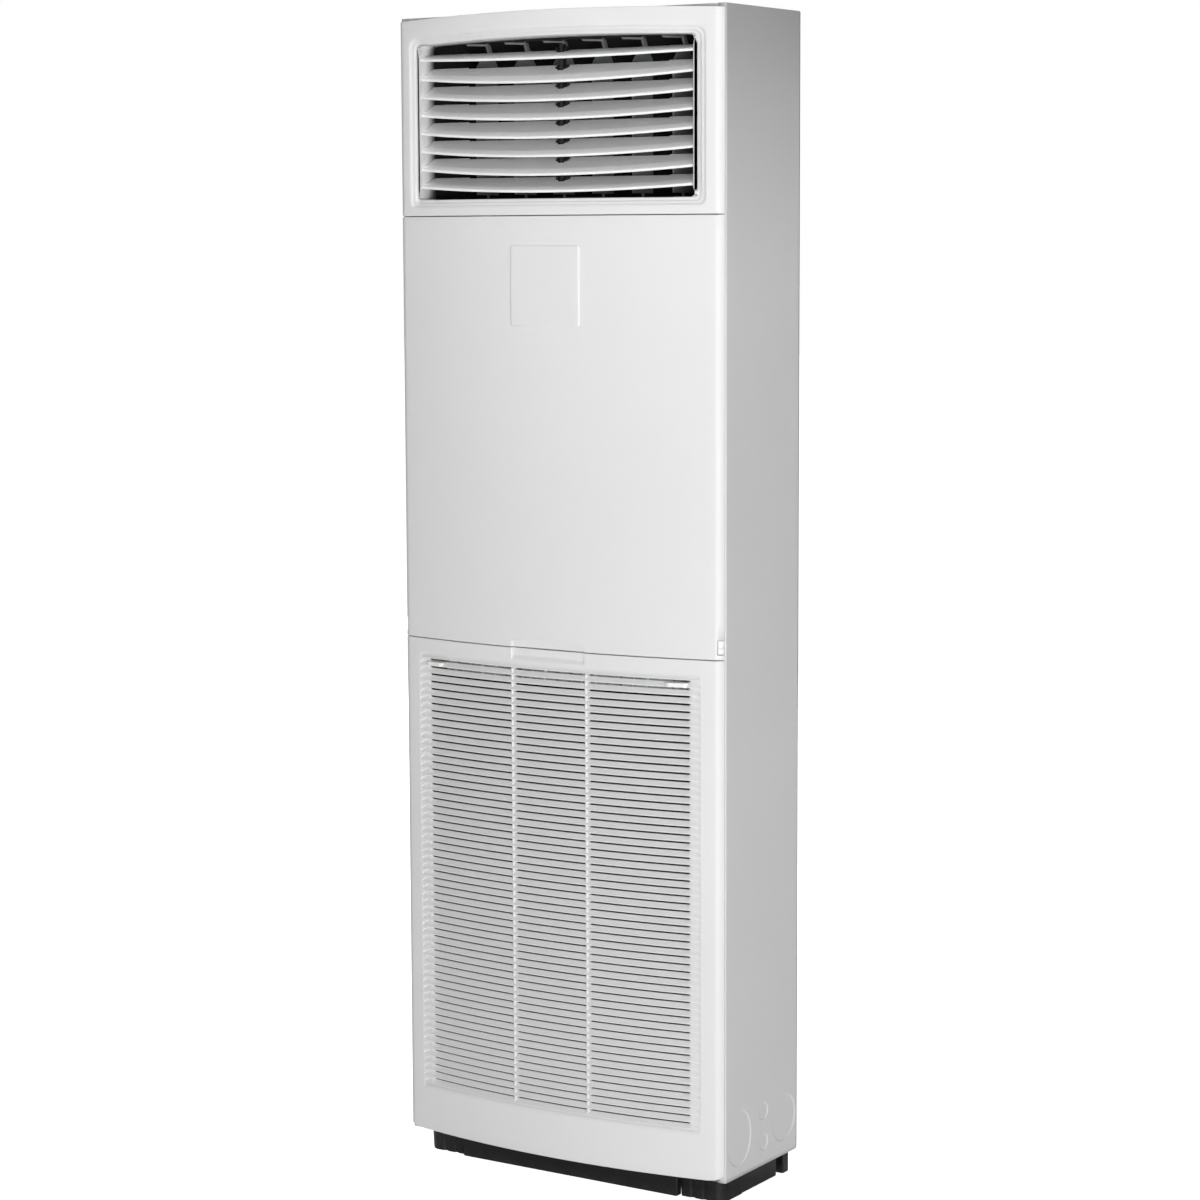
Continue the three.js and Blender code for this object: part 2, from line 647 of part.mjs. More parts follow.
// Latch: a thumb tab in the top trough, a stem through its window and a bolt behind the grille
function grilleLatch() {
  const face = (x) => faceY(x);
  const x0 = latchX - latchLength / 2;
  const x1 = latchX + latchLength / 2;
  const tab = alongZ([[x0, face(x0) - 3], [x0 + 5, face(x0) - 5], [x1 - 3, face(x1) - 5],
    [x1, face(x1) - 3],
    [x1, face(x1) - 0.6], [x0, face(x0) - 0.9]], latchZ - latchHalf, latchZ + latchHalf);
  const boltBack = seam + sheet + 4;
  const boltFront = seam + sheet + 0.5;
  const stem = box(latchX - 5, latchX + 5, face(latchX) - 4, boltBack, latchZ - stemHalf,
    latchZ + stemHalf);
  const bolt = box(latchX - 5, halfWidth - flange - 4, boltFront, boltBack, latchZ - stemHalf,
    latchZ + stemHalf);
  return join(tab, stem, bolt);
}

function grilleHinge() {
  const rear = seam + sheet;
  const plan = [[hingeY - 4.6, hingeZ - 2.6], [hingeY - 2.6, hingeZ - 4.6], [hingeY + 6, hingeZ - 4.6],
    [seam - 4, bodyBottom + 1], [rear, bodyBottom + 1],
    [rear, hingeZ + 3], [hingeY + 6, hingeZ + 4.6], [hingeY - 4.6, hingeZ + 4.6]];
  const arm = alongX(plan, hingeX - hingeWidth / 2, hingeX + hingeWidth / 2);
  return cut(arm, rodX(hingeX - hingeWidth, hingeX + hingeWidth, hingeY, hingeZ, hingePin + runningGap,
    12));
}

// ---------------------------------------------------------------- louvre blades

const bladeHalf = outletHalfWidth - bladeEndGap;

// Place of the link pin seen from a pivot, the same for every blade because the link stays upright
const pinOffset = [linkArm * Math.cos(linkTilt * degrees), linkArm * Math.sin(linkTilt * degrees)];

// A blade about its own pivot axis, lying flat: X across, Y rearwards along the chord, Z up
function louvreBlade(tilt) {
  const angle = tilt * degrees;
  const chord = (y) => (y - bladePivotY) / Math.cos(angle);
  const edge = (x) => chord(faceY(x) + bladeRecess);
  const rear = chord(bladePivotY + bladeRear);
  const rearEnd = chord(bladePivotY + bladeRear + bladeRearStep);
  const stepX = bladeHalf - bladeRearStepX;
  const notchHalf = linkWidth / 2 + linkGap;
  const notchFront = linkArm - 11;
  const top = bladeThickness / 2;
  const sections = [-1, -0.96, -0.48, 0, 0.48, 0.96, 1].map((share) => {
    const x = bladeHalf * share;
    const y = edge(x) + (Math.abs(share) === 1 ? 4 : 0);
    return [x, [[rearEnd, top], [rearEnd, -top], [y + 3, -top], [y + 3, top - bladeNose],
      [y, top - bladeNose], [y, top]]];
  });
  const notch = box(-notchHalf, notchHalf, notchFront, rearEnd + 5, -10, 10);
  const rearStep = box(-stepX, stepX, rear, rearEnd + 5, -10, 10);
  const plate = cut(lofted(sections, ([y, z], x) => [x, y, z]), notch, rearStep);

  const pinY = pinOffset[0] * Math.cos(angle) + pinOffset[1] * Math.sin(angle);
  const pinZ = -pinOffset[0] * Math.sin(angle) + pinOffset[1] * Math.cos(angle);
  const ear = box(notchHalf, notchHalf + 3, pinY - 6, pinY + 5, Math.min(-1, pinZ - 4.5), pinZ + 4.5);
  const earHole = rodX(-notchHalf - 4, notchHalf + 4, pinY, pinZ, pinRadius + runningGap, 5);
  const pin = rodX(bladeHalf - 6, outletHalfWidth + wall + 0.8, 0, 0, pivotRadius, 6);
  const half = join(ear, pin);
  return cut(join(plate, half, mirrored(half, -1)), earHole);
}

function addLouvres() {
  for (let i = 1; i <= bladeCount; i += 1) {
    const pivot = new THREE.Group();
    pivot.position.set(0, bladePivotY, bladePivotZ(i));
    pivot.rotation.x = bladeTilts[i - 1] * degrees;
    add(`louvre_blade_${i}`, louvreBlade(bladeTilts[i - 1]), bladePlastic, pivot);
    root.add(pivot);
  }
}

function louvreLink() {
  const y = bladePivotY + pinOffset[0];
  const z = (i) => bladePivotZ(i) + pinOffset[1];
  const bar = box(-linkWidth / 2, linkWidth / 2, y - linkDepth / 2, y + linkDepth / 2, z(bladeCount) - 8,
    z(1) + 8);
  const reach = linkWidth / 2 + linkGap + 3.5;
  const pins = Array.from({ length: bladeCount }, (_, i) => rodX(-reach, reach, y, z(i + 1), pinRadius, 5));
  return join(bar, ...pins);
}

// Stepping motor with its shaft off centre, on the left wall of the outlet
function louvreMotor() {
  const x = outletHalfWidth + wall + fit;
  const y = bladePivotY;
  const z = bladePivotZ(leadBlade);
  const plate = box(-x - 1.5, -x, y - 4, y + 20, z - 16, z + 16);
  const body = rodX(-x - 16, -x - 1.4, y + 8, z, 10, 14);
  const socket = rodX(-x - 4, -x + 1, y, z, pivotRadius + 1.4, 8);
  return cut(join(plate, body), socket);
}

// ---------------------------------------------------------------- vertical vanes

const vaneX = (i) => (i - (vaneCount + 1) / 2) * vanePitch;
const vaneAxisY = jambBack + vaneAxisInset;
const ductRoof = outletTop + ductRise;
const crankZ = ductRoof - crankDrop;
const vaneBottom = outletBottom + 7.5;
const vaneTop = crankZ - 16;
const railZ = vaneBottom - 5;

// A vane about its own upright axis, with the crank that its link drives
function verticalVane() {
  const t = vaneThickness / 2;
  const plate = alongX([[-vaneFront, vaneBottom], [vaneBack, vaneBottom], [vaneBack, vaneTop - 14],
    [vaneBack - 12, vaneTop], [18 - vaneFront, vaneTop], [-vaneFront, vaneTop - 20]], -t, t);
  const riser = alongX([[8, vaneTop - 2], [16, vaneTop - 2], [5, crankZ + 3], [-3, crankZ + 3]], -2.5, 2.5);
  const turn = -crankAngle * degrees;
  const tip = [crankLength * Math.sin(turn), -crankLength * Math.cos(turn)];
  const side = [2.6 * Math.cos(turn), 2.6 * Math.sin(turn)];
  const arm = alongZ([[-side[0], -side[1]], [tip[0] - side[0], tip[1] - side[1]],
    [tip[0] + side[0], tip[1] + side[1]],
    [side[0], side[1]]].reverse(), crankZ, crankZ + 3);
  const post = rodZ(crankZ + 1, crankZ + 8.5, tip[0], tip[1], crankPin, 6);
  const topPin = rodZ(crankZ + 1, ductRoof + ductWall - 1, 0, 0, vanePin, 6);
  const lowPin = rodZ(railZ - 3, vaneBottom + 1, 0, 0, vanePin, 6);
  return join(plate, riser, arm, post, topPin, lowPin);
}

function vaneLink() {
  const turn = crankAngle * degrees;
  const tipX = (i) => vaneX(i) - crankLength * Math.sin(turn);
  const tipY = vaneAxisY - crankLength * Math.cos(turn);
  const bar = box(tipX(1) - 7, tipX(vaneCount) + 7, tipY - 4.5, tipY + 4.5, crankZ + 3 + fit, crankZ + 6);
  const holes = Array.from({ length: vaneCount }, (_, i) =>
    rodZ(crankZ, crankZ + 9, tipX(i + 1), tipY, crankPin + runningGap, 6));
  return cut(bar, ...holes);
}

function vaneRail() {
  const half = outletHalfWidth + 0.5 - fit;
  const rail = box(-half, half, vaneAxisY - 8, vaneAxisY + 8, railZ - 3, railZ);
  const holes = Array.from({ length: vaneCount }, (_, i) =>
    rodZ(railZ - 5, railZ + 5, vaneX(i + 1), vaneAxisY, vanePin + runningGap, 6));
  return cut(rail, ...holes);
}

function vaneMotor() {
  const roof = ductRoof + ductWall;
  const body = rodZ(roof + fit, roof + 14, vaneX(leadVane), vaneAxisY, 17, 18);
  const ears = box(vaneX(leadVane) - 26, vaneX(leadVane) + 26, vaneAxisY - 6, vaneAxisY + 6, roof + fit,
    roof + 2);
  return join(body, ears);
}

// The lined duct that turns the air from the coil towards the louvres
function outletDuct() {
  const inner = outletHalfWidth + 0.5;
  const y0 = jambBack + fit;
  const rear = back - ductRear;
  const z0 = bezelBottom + 2;
  const bend = ductBend;
  const outerProfile = [[y0, z0], [rear + ductWall, z0],
    ...arc(rear + ductWall - bend, ductRoof + ductWall - bend, bend, 0, Math.PI / 2, 5),
    [y0, ductRoof + ductWall]];
  const innerProfile = [[y0 + ductWall, z0 - 1], [rear, z0 - 1],
    ...arc(rear - bend + ductWall, ductRoof - bend + ductWall, bend - ductWall, 0, Math.PI / 2, 5),
    [y0 - 1, ductRoof],
    [y0 - 1, outletBottom - wall - 1], [y0 + ductWall, outletBottom - wall - 1]];
  const shell = cut(alongX(outerProfile, -inner - ductWall, inner + ductWall),
    alongX(innerProfile, -inner, inner));
  const skirt = cut(box(-insideX + fit, insideX - fit, y0 + 26, rear + ductWall, z0, z0 + 1.5),
    box(-inner, inner, y0, rear, z0 - 1, z0 + 3));
  const pins = Array.from({ length: vaneCount }, (_, i) =>
    rodZ(ductRoof - 5, ductRoof + ductWall + 5, vaneX(i + 1), vaneAxisY, vanePin + runningGap, 6));
  return cut(join(shell, skirt), ...pins);
}

// ---------------------------------------------------------------- fan

const spiralRadius = (angle) => scrollStart
  + ((scrollEnd - scrollStart) * (angle - cutoffAngle)) / (360 - cutoffAngle);

// Outline of the scroll in X and Z, grown outwards by a margin
function scrollOutline(margin, top) {
  const steps = 18;
  const spiral = Array.from({ length: steps + 1 }, (_, i) => {
    const angle = cutoffAngle + ((360 - cutoffAngle) * i) / steps;
    const r = spiralRadius(angle) + margin;
    return [fanX + r * Math.cos(angle * degrees), fanZ + r * Math.sin(angle * degrees)];
  });
  const mouthLeft = spiral[0][0] + 20;
  return [...spiral, [fanX + scrollEnd + margin, top], [mouthLeft - (margin > 0 ? 2 * margin : 0), top]];
}

const scrollTop = deckZ - fit;
const wheelFront = scrollFront + wheelGap;
const wheelBack = scrollBack - wheelGap + 1;

function fanScroll() {
  const shell = cut(alongY(scrollOutline(sheet, scrollTop), scrollFront, scrollBack),
    alongY(scrollOutline(0, scrollTop + 5), scrollFront + sheet, scrollBack - sheet));
  return cut(shell, rodY(scrollFront - 2, scrollFront + 3, fanX, fanZ, inletRadius, 20),
    rodY(scrollBack - 3, scrollBack + 2, fanX, fanZ, motorRadius + 14, 20));
}

function inletRing() {
  const face = scrollFront - fit;
  return turned([[inletRadius + 18, face], [inletRadius + 18, face - 1.5], [inletRadius - 2, face - 1.5],
    [throatRadius + 5, face + 5], [throatRadius, face + 13], [throatRadius, face + 21],
    [throatRadius + 1.5, face + 21],
    [throatRadius + 6.5, face + 6], [inletRadius - 1.5, face]], fanX, fanZ, 20);
}

const hubFront = scrollBack - 79;
const motorFront = scrollBack - motorLength;

// Sirocco wheel: a dished back plate, a ring of forward curved blades and a front ring
function fanWheel() {
  const dish = [[shaftRadius + fit, hubFront - 8], [16, hubFront - 8], [16, hubFront], [46, hubFront],
    [92, wheelBack - 2],
    [wheelRadius, wheelBack - 2], [wheelRadius, wheelBack], [90.5, wheelBack], [45, hubFront + 2],
    [shaftRadius + fit, hubFront + 2]];
  const backPlate = turned(dish, 0, 0, 16);
  const rim = turned([[wheelInner, wheelFront], [wheelRadius, wheelFront], [wheelRadius, wheelFront + 2.5],
    [wheelInner, wheelFront + 2.5]], 0, 0, 16);
  const blade = (i) => {
    const base = (i * 2 * Math.PI) / wheelBlades;
    const lean = [0, 0.07, 0.17];
    const radii = [wheelInner + 1.5, (wheelInner + wheelRadius) / 2, wheelRadius - 2.5];
    const at = (k, side) => {
      const angle = base + lean[k] + side / radii[k];
      return [radii[k] * Math.cos(angle), radii[k] * Math.sin(angle)];
    };
    return alongY([at(0, -0.7), at(1, -0.7), at(2, -0.7), at(2, 0.7), at(1, 0.7), at(0, 0.7)],
      wheelFront + 1.5, wheelBack - 1);
  };
  return join(backPlate, rim, ...Array.from({ length: wheelBlades }, (_, i) => blade(i)));
}

function fanMotor() {
  const rear = scrollBack;
  const bore = shaftRadius + fit;
  const boreEnd = motorFront + 34;
  const body = turned([[bore, motorFront - 3], [26, motorFront - 3], [motorRadius - 6, motorFront + 4],
    [motorRadius, motorFront + 12], [motorRadius, rear - 7], [motorRadius - 6, rear], [bore, rear]], fanX,
    fanZ, 16);
  return join(body, rodY(boreEnd, rear, fanX, fanZ, bore + 4, 8));
}

function motorShaft() {
  const shaft = rodY(hubFront - 18, motorFront + 33, 0, 0, shaftRadius, 12);
  const nut = rodY(hubFront - 16, hubFront - 8 - fit, 0, 0, 11, 6);
  return join(shaft, nut);
}

function motorBracket() {
  const y0 = scrollBack + fit;
  const rim = turned([[motorRadius - 22, y0], [motorRadius + 34, y0], [motorRadius + 34, y0 + 2],
    [motorRadius - 22, y0 + 2]],
    fanX, fanZ, 16);
  const arms = [90, 210, 330].map((a) => {
    const x = Math.cos(a * degrees);
    const z = Math.sin(a * degrees);
    const r0 = motorRadius - 10;
    const r1 = motorRadius + 30;
    return alongY([[fanX + x * r0 - z * 6, fanZ + z * r0 + x * 6],
      [fanX + x * r0 + z * 6, fanZ + z * r0 - x * 6],
      [fanX + x * r1 + z * 6, fanZ + z * r1 - x * 6], [fanX + x * r1 - z * 6, fanZ + z * r1 + x * 6]],
      y0 + 1, y0 + 8);
  });
  return join(rim, ...arms);
}

function fanDeck() {
  const y0 = seam + 12;
  const y1 = deckBack;
  const plate = join(box(-insideX + fit, insideX - fit, y0, y1, deckZ, deckZ + sheet),
    box(-insideX + fit, insideX - fit, y0, y0 + sheet, deckZ - flange, deckZ + 0.1));
  const left = fanX + scrollStart * Math.cos(cutoffAngle * degrees) + 20;
  const mouth = box(left, fanX + scrollEnd, scrollFront + sheet, scrollBack - sheet, deckZ - 1, deckZ + 3);
  const pipes = box(pipeX - 16, pipeX + pipeGap + 12, pipeY - 26, pipeY + 14, deckZ - 1, deckZ + 3);
  return cut(plate, mouth, pipes);
}

// ---------------------------------------------------------------- coil and its pipes

// The slanted coil stands in its pan on the lower rear corners of its end sheets
const panBottom = deckZ + sheet + fit;
const coilTop = middleTop - coilHeadroom;
const coilHalfWidth = halfWidth - coilMargin;
const coilSlope = Math.atan2(back - coilBack - seam - coilInset, coilTop - panBottom);
const coilUp = new THREE.Vector2(Math.sin(coilSlope), Math.cos(coilSlope));     // along the coil
const coilOut = new THREE.Vector2(-coilUp.y, coilUp.x);                         // towards the front
const coilFoot = new THREE.Vector2(seam + coilInset,
  panBottom + panWall + fit + (coilThickness / 2 + coilSheetMargin) * coilUp.x + coilSheetMargin * coilUp.y);
const coilLength = (coilTop - coilFoot.y) / coilUp.y;

// A point on the coil's section: a distance up from its foot and out from its mid plane
const onCoil = (up, out) => [coilFoot.x + coilUp.x * up + coilOut.x * out,
  coilFoot.y + coilUp.y * up + coilOut.y * out];

const coilSection = (grow, ends) => [onCoil(-ends, coilThickness / 2 + grow),
  onCoil(-ends, -coilThickness / 2 - grow),
  onCoil(coilLength + ends, -coilThickness / 2 - grow), onCoil(coilLength + ends,
  coilThickness / 2 + grow)];

function finPack() {
  const count = Math.floor((2 * coilHalfWidth - 8) / finPitch);
  const half = coilThickness / 2;
  const start = -((count - 1) * finPitch) / 2;
  const edge = (side) => Array.from({ length: count }, (_, i) => {
    const x = start + i * finPitch;
    return [[x - 2, side * half], [x, side * (half - 3)], [x + 2, side * half]];
  }).flat();
  const outline = [[-coilHalfWidth, -half], ...edge(-1), [coilHalfWidth, -half], [coilHalfWidth, half],
    ...edge(1).reverse(), [-coilHalfWidth, half]];
  return solid(extrude(outline, coilLength).rotateX(-coilSlope).translate(0, coilFoot.x, coilFoot.y));
}

// End sheet with the return bends that stand out of it
function coilSheet() {
  const x0 = coilHalfWidth + fit;
  const plate = alongX(coilSection(coilSheetMargin, coilSheetMargin), x0, x0 + 1.5);
  const bends = Array.from({ length: returnBends }, (_, i) => {
    const [ya, za] = onCoil(coilSpacing * (i + 0.45), -10);
    const [yb, zb] = onCoil(coilSpacing * (i + 0.95), 10);
    const x = x0 + 1;
    return tube([[x, ya, za], [x + 10, ya, za], [x + 18, (ya + yb) / 2, (za + zb) / 2], [x + 10, yb, zb],
      [x, yb, zb]],
      tubeRadius, 5, 5);
  });
  return join(plate, ...bends);
}

const coilSpacing = coilLength / (returnBends + 0.5);
const sheetFace = coilHalfWidth + fit + 1.5;
const headerX = -(coilHalfWidth + 26);

function suctionHeader() {
  const low = onCoil(coilSpacing * 1.3 - 12, -headerOut);
  const high = onCoil(coilSpacing * (returnBends - 0.7) + 12, -headerOut);
  const middle = [(low[0] + high[0]) / 2, (low[1] + high[1]) / 2];
  const trunk = tube([[headerX, ...low], [headerX, ...middle], [headerX, ...high]], headerRadius, 8, 2);
  const stubs = Array.from({ length: returnBends - 1 }, (_, i) => {
    const up = coilSpacing * (i + 1.3);
    return tube([[headerX, ...onCoil(up, -headerOut)], [headerX + 10, ...onCoil(up, -22)],
      [-sheetFace - 6, ...onCoil(up, -18)], [-sheetFace - fit, ...onCoil(up, -18)]], 4, 5, 3);
  });
  return join(trunk, ...stubs);
}

function gasPipe() {
  const up = coilSpacing * 1.6;
  const end = 250;
  const drop = tube([[headerX, ...onCoil(up, -headerOut - headerRadius - fit)],
    [headerX, ...onCoil(up, -headerOut - 26)],
    [pipeX, pipeY - 30, deckZ + 40], [pipeX, pipeY - 4, deckZ + 18], [pipeX, pipeY, deckZ - 30],
    [pipeX, pipeY, (deckZ + end) / 2], [pipeX, pipeY, end + 20]], gasRadius, 6, 16);
  return join(drop, rodZ(end, end + 26, pipeX, pipeY, 2 * gasRadius, 6));
}

function liquidPipe() {
  const start = onCoil(28, 12);
  const x = -sheetFace - fit;
  const px = pipeX + pipeGap;
  const end = 300;
  const run = tube([[x, ...start], [x - 8, ...start], [x - 12, start[0] + 12, start[1] - 1],
    [x - 10, start[0] + 66, start[1] - 2],
    [x - 4, 44, deckZ + 30], [px, pipeY - 14, deckZ + 18], [px, pipeY, deckZ - 30],
    [px, pipeY, (deckZ + end) / 2],
    [px, pipeY, end + 18]], liquidRadius, 6, 18);
  return join(run, rodZ(end, end + 22, px, pipeY, 2.2 * liquidRadius, 6));
}

function drainPan() {
  const x = coilHalfWidth + 24;
  const z0 = panBottom;
  const y0 = seam + 10;
  const y1 = coilFoot.x + 34;
  const body = cut(box(-x, x, y0, y1, z0, z0 + panHeight),
    box(-x + panWall, x - panWall, y0 + panWall, y1 - panWall, z0 + panWall, z0 + panHeight + 2));
  const socket = cut(rodX(-x - 16, -x + 1, coilFoot.x + 6, z0 + 9, 7, 10),
    rodX(-x - 18, -x - 4, coilFoot.x + 6, z0 + 9, 5, 10));
  return join(body, socket);
}

function coilBaffle() {
  const [y] = onCoil(coilLength + 4, coilThickness / 2);
  const z = onCoil(coilLength + 4, coilThickness / 2 + 4)[1] + 8.5;
  const y1 = deckBack;
  return join(box(-insideX + fit, insideX - fit, y, y1, z, z + sheet),
    box(-insideX + fit, insideX - fit, y1 - sheet, y1, z, z + 20));
}

// ---------------------------------------------------------------- electrical parts

const boxFront = seam + boxInset;
const controlLeft = boxMargin - halfWidth;
const controlRight = controlLeft + boxWidth;
const controlBottom = deckZ - boxHeight;

function controlBox() {
  const rear = scrollFront - fit;
  const top = deckZ - fit;
  const body = cut(box(controlLeft, controlRight, boxFront + 3, rear, controlBottom, top),
    box(controlLeft + sheet, controlRight - sheet, boxFront - 1, rear - sheet, controlBottom + sheet,
    top - sheet));
  const tongue = box(controlRight - 1, controlRight + 96, rear - sheet, rear, controlBottom + 40, top);
  return join(body, tongue);
}

function controlBoxLid() {
  const top = deckZ - fit;
  return cut(box(controlLeft - 1.6, controlRight + 1.6, boxFront, boxFront + 12, controlBottom - 1.6, top),
    box(controlLeft - fit, controlRight + fit, boxFront + 2.6, boxFront + 20, controlBottom - fit,
    top + 1));
}

function terminalBlock() {
  const rear = scrollFront - fit - sheet - fit;
  const x0 = controlRight + 10;
  const count = 5;
  const pitch = 14;
  const z0 = controlBottom + 84;
  const z1 = z0 + 28;
  const body = box(x0, x0 + count * pitch, rear - 16, rear, z0, z1);
  const barriers = Array.from({ length: count + 1 }, (_, i) =>
    box(x0 + i * pitch - 1, x0 + i * pitch + 1, rear - 22, rear - 15, z0, z1));
  return join(body, ...barriers);
}

// ---------------------------------------------------------------- filter

const filterHalf = railX - 0.5;
const filterBottom = railBottom + 3 + fit;
const filterTop = railTop - 10;

function airFilter() {
  const rim = filterRim;
  const outer = box(-filterHalf, filterHalf, filterFront, filterBack, filterBottom, filterTop);
  const windows = [];
  const columns = 4;
  const rows = 4;
  const cellX = (2 * (filterHalf - rim)) / columns;
  const cellZ = (filterTop - filterBottom - 2 * rim) / rows;
  for (let c = 0; c < columns; c += 1) {
    for (let r = 0; r < rows; r += 1) {
      const x0 = -filterHalf + rim + c * cellX;
      const z0 = filterBottom + rim + r * cellZ;
      windows.push(box(x0 + 2, x0 + cellX - 2, filterFront - 1, filterBack + 1, z0 + 2, z0 + cellZ - 2));
    }
  }
  const bed = box(-filterHalf + 3, filterHalf - 3, filterFront - 1, filterFront + 1.5, filterBottom + 3,
    filterTop - 3);
  return cut(outer, ...windows, bed);
}

function filterMesh() {
  return box(-filterHalf + 3.5, filterHalf - 3.5, filterFront + 0.3, filterFront + 1.2, filterBottom + 3.5,
    filterTop - 3.5);
}

// ---------------------------------------------------------------- assembly

add('base_frame', baseFrame(), blackPaint);
add('bottom_plate', bottomPlate(), galvanised);
add('right_side_panel', sidePanel(), paintedSteel);
add('left_side_panel', mirrored(sidePanel(), -1), paintedSteel);
add('top_plate', topPlate(), paintedSteel);
add('rear_panel', rearPanel(), galvanised);

add('outlet_bezel', outletBezel(), frontPlastic);
add('middle_panel', middlePanel(), frontPlastic);
add('square_cover_plate', coverPlate(), frontPlastic);
add('panel_clip_right', panelClip(), whitePlastic);
add('panel_clip_left', mirrored(panelClip(), -1), whitePlastic);
add('suction_grille', suctionGrille(), frontPlastic);
add('grille_latch_right', grilleLatch(), whitePlastic);
add('grille_latch_left', mirrored(grilleLatch(), -1), whitePlastic);
add('grille_hinge_right', grilleHinge(), blackPlastic);
add('grille_hinge_left', mirrored(grilleHinge(), -1), blackPlastic);
add('air_filter', airFilter(), blackPlastic);
add('filter_mesh', filterMesh(), greyPlastic);

addLouvres();
add('louvre_link', louvreLink(), blackPlastic);
add('louvre_motor', louvreMotor(), greyPlastic);

for (let i = 1; i <= vaneCount; i += 1) {
  add(`vane_${i}`, verticalVane(), greyPlastic).position.set(vaneX(i), vaneAxisY, 0);
}
add('vane_link', vaneLink(), blackPlastic);
add('vane_rail', vaneRail(), blackPlastic);
add('vane_motor', vaneMotor(), greyPlastic);
add('outlet_duct', outletDuct(), foam);

add('fan_scroll', fanScroll(), galvanised);
add('inlet_ring', inletRing(), galvanised);
add('fan_wheel', fanWheel(), greyPlastic).position.set(fanX, 0, fanZ);
add('motor_shaft', motorShaft(), galvanised).position.set(fanX, 0, fanZ);
add('fan_motor', fanMotor(), blackPaint);
add('motor_bracket', motorBracket(), galvanised);
add('fan_deck', fanDeck(), galvanised);

add('coil_fin_pack', finPack(), aluminium);
add('coil_sheet_right', coilSheet(), copper);
add('coil_sheet_left', mirrored(coilSheet(), -1), copper);
add('suction_header', suctionHeader(), copper);
add('gas_pipe', gasPipe(), copper);
add('liquid_pipe', liquidPipe(), copper);
add('drain_pan', drainPan(), foam);
add('coil_baffle', coilBaffle(), galvanised);

add('control_box', controlBox(), galvanised);
add('control_box_lid', controlBoxLid(), galvanised);
add('terminal_block', terminalBlock(), whitePlastic);

export default root;
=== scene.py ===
# %% [markdown]
# # Floor standing air conditioner
# The cabinet of a split system that stands in a room: a bowed front of three white mouldings, painted
# steel sides and a low black base. The measured model is the frame of this scene. It gives every piece
# its place, and this file adds the smooth surfaces, the finishes, the light and the camera.

import bmesh
import bpy
import numpy as np
from mathutils import Matrix, Vector


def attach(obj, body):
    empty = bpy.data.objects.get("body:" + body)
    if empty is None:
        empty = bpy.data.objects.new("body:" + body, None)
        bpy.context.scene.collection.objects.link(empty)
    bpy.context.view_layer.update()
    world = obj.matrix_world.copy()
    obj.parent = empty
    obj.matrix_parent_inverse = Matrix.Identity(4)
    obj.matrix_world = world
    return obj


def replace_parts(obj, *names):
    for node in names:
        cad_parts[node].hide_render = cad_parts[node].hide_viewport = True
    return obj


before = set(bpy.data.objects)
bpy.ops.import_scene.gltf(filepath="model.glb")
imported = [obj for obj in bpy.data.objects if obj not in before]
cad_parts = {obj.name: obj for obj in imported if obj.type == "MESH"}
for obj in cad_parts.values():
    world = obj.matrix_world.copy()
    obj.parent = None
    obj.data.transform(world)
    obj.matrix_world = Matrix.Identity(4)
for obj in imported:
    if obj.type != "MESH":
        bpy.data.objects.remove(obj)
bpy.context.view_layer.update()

# %% [markdown]
# ## Camera
# The photograph was taken from the right of the front, a little above the middle of the cabinet, with a
# long lens. The cabinet's outer sizes were taken from its class, and the place, the turn and the focal
# length were then solved from its edges in the picture. They are only as right as those outer sizes.

# %% Camera
yaw, pitch, roll = 0.57247, 0.11721, -0.00411
CAMERA_PLACE = (2.66512, -4.11444, 1.50475)
LENS = 92.61
ahead = Vector((-np.sin(yaw) * np.cos(pitch), np.cos(yaw) * np.cos(pitch), -np.sin(pitch)))
level = Vector((np.cos(yaw), np.sin(yaw), 0.0))
above = level.cross(ahead)
right = level * np.cos(roll) + above * np.sin(roll)
up = above * np.cos(roll) - level * np.sin(roll)

camera_data = bpy.data.cameras.new("camera")
camera_data.sensor_width = 36.0
camera_data.lens = LENS
camera = bpy.data.objects.new("camera", camera_data)
turned = Matrix((right, up, -ahead)).transposed().to_4x4()
camera.matrix_world = Matrix.Translation(CAMERA_PLACE) @ turned
bpy.context.scene.collection.objects.link(camera)
bpy.context.scene.camera = camera
print("lens", camera_data.lens, "mm, distance", round(camera.location.length, 2), "m")

# %% [markdown]
# ## Colours and nodes
# A hex colour is written for a screen, but a shader works in linear light. One function turns the one
# into the other, and one function adds a node with its settings and links.

# %% Helpers for materials


def linear(hex_colour):
    """sRGB hex to linear RGBA: c / 12.92 below 0.04045, else ((c + 0.055) / 1.055) ** 2.4."""
    c = np.array([int(hex_colour[i:i + 2], 16) for i in (1, 3, 5)]) / 255
    rgb = np.where(c <= 0.04045, c / 12.92, ((c + 0.055) / 1.055) ** 2.4)
    return (*rgb.tolist(), 1.0)


def add_node(material, kind, links=(), **settings):
    """Adds a node. A setting is a property or an input; links are (input, output socket) pairs."""
    node = material.node_tree.nodes.new(kind)
    for key, value in settings.items():
        if hasattr(node, key):
            setattr(node, key, value)
        else:
            node.inputs[key.replace("_", " ")].default_value = value
    for socket, source in links:
        material.node_tree.links.new(node.inputs[socket], source)
    return node


def grain(size_mm):
    """Noise scale whose lumps are about size_mm wide, on coordinates in metres."""
    return 1000.0 / size_mm


# %% [markdown]
# ## Finishes
# Every finish here is a colour, a gloss and a small unevenness, and they differ in how the surface was
# made. A moulded plastic copies the fine spark texture of its tool. Powder paint flows into a soft
# orange peel. Galvanised sheet has flat crystals. One maker covers them, because all of them are a
# noise for tone, a noise for gloss and a bump of a stated size in millimetres.

# %% Finish maker


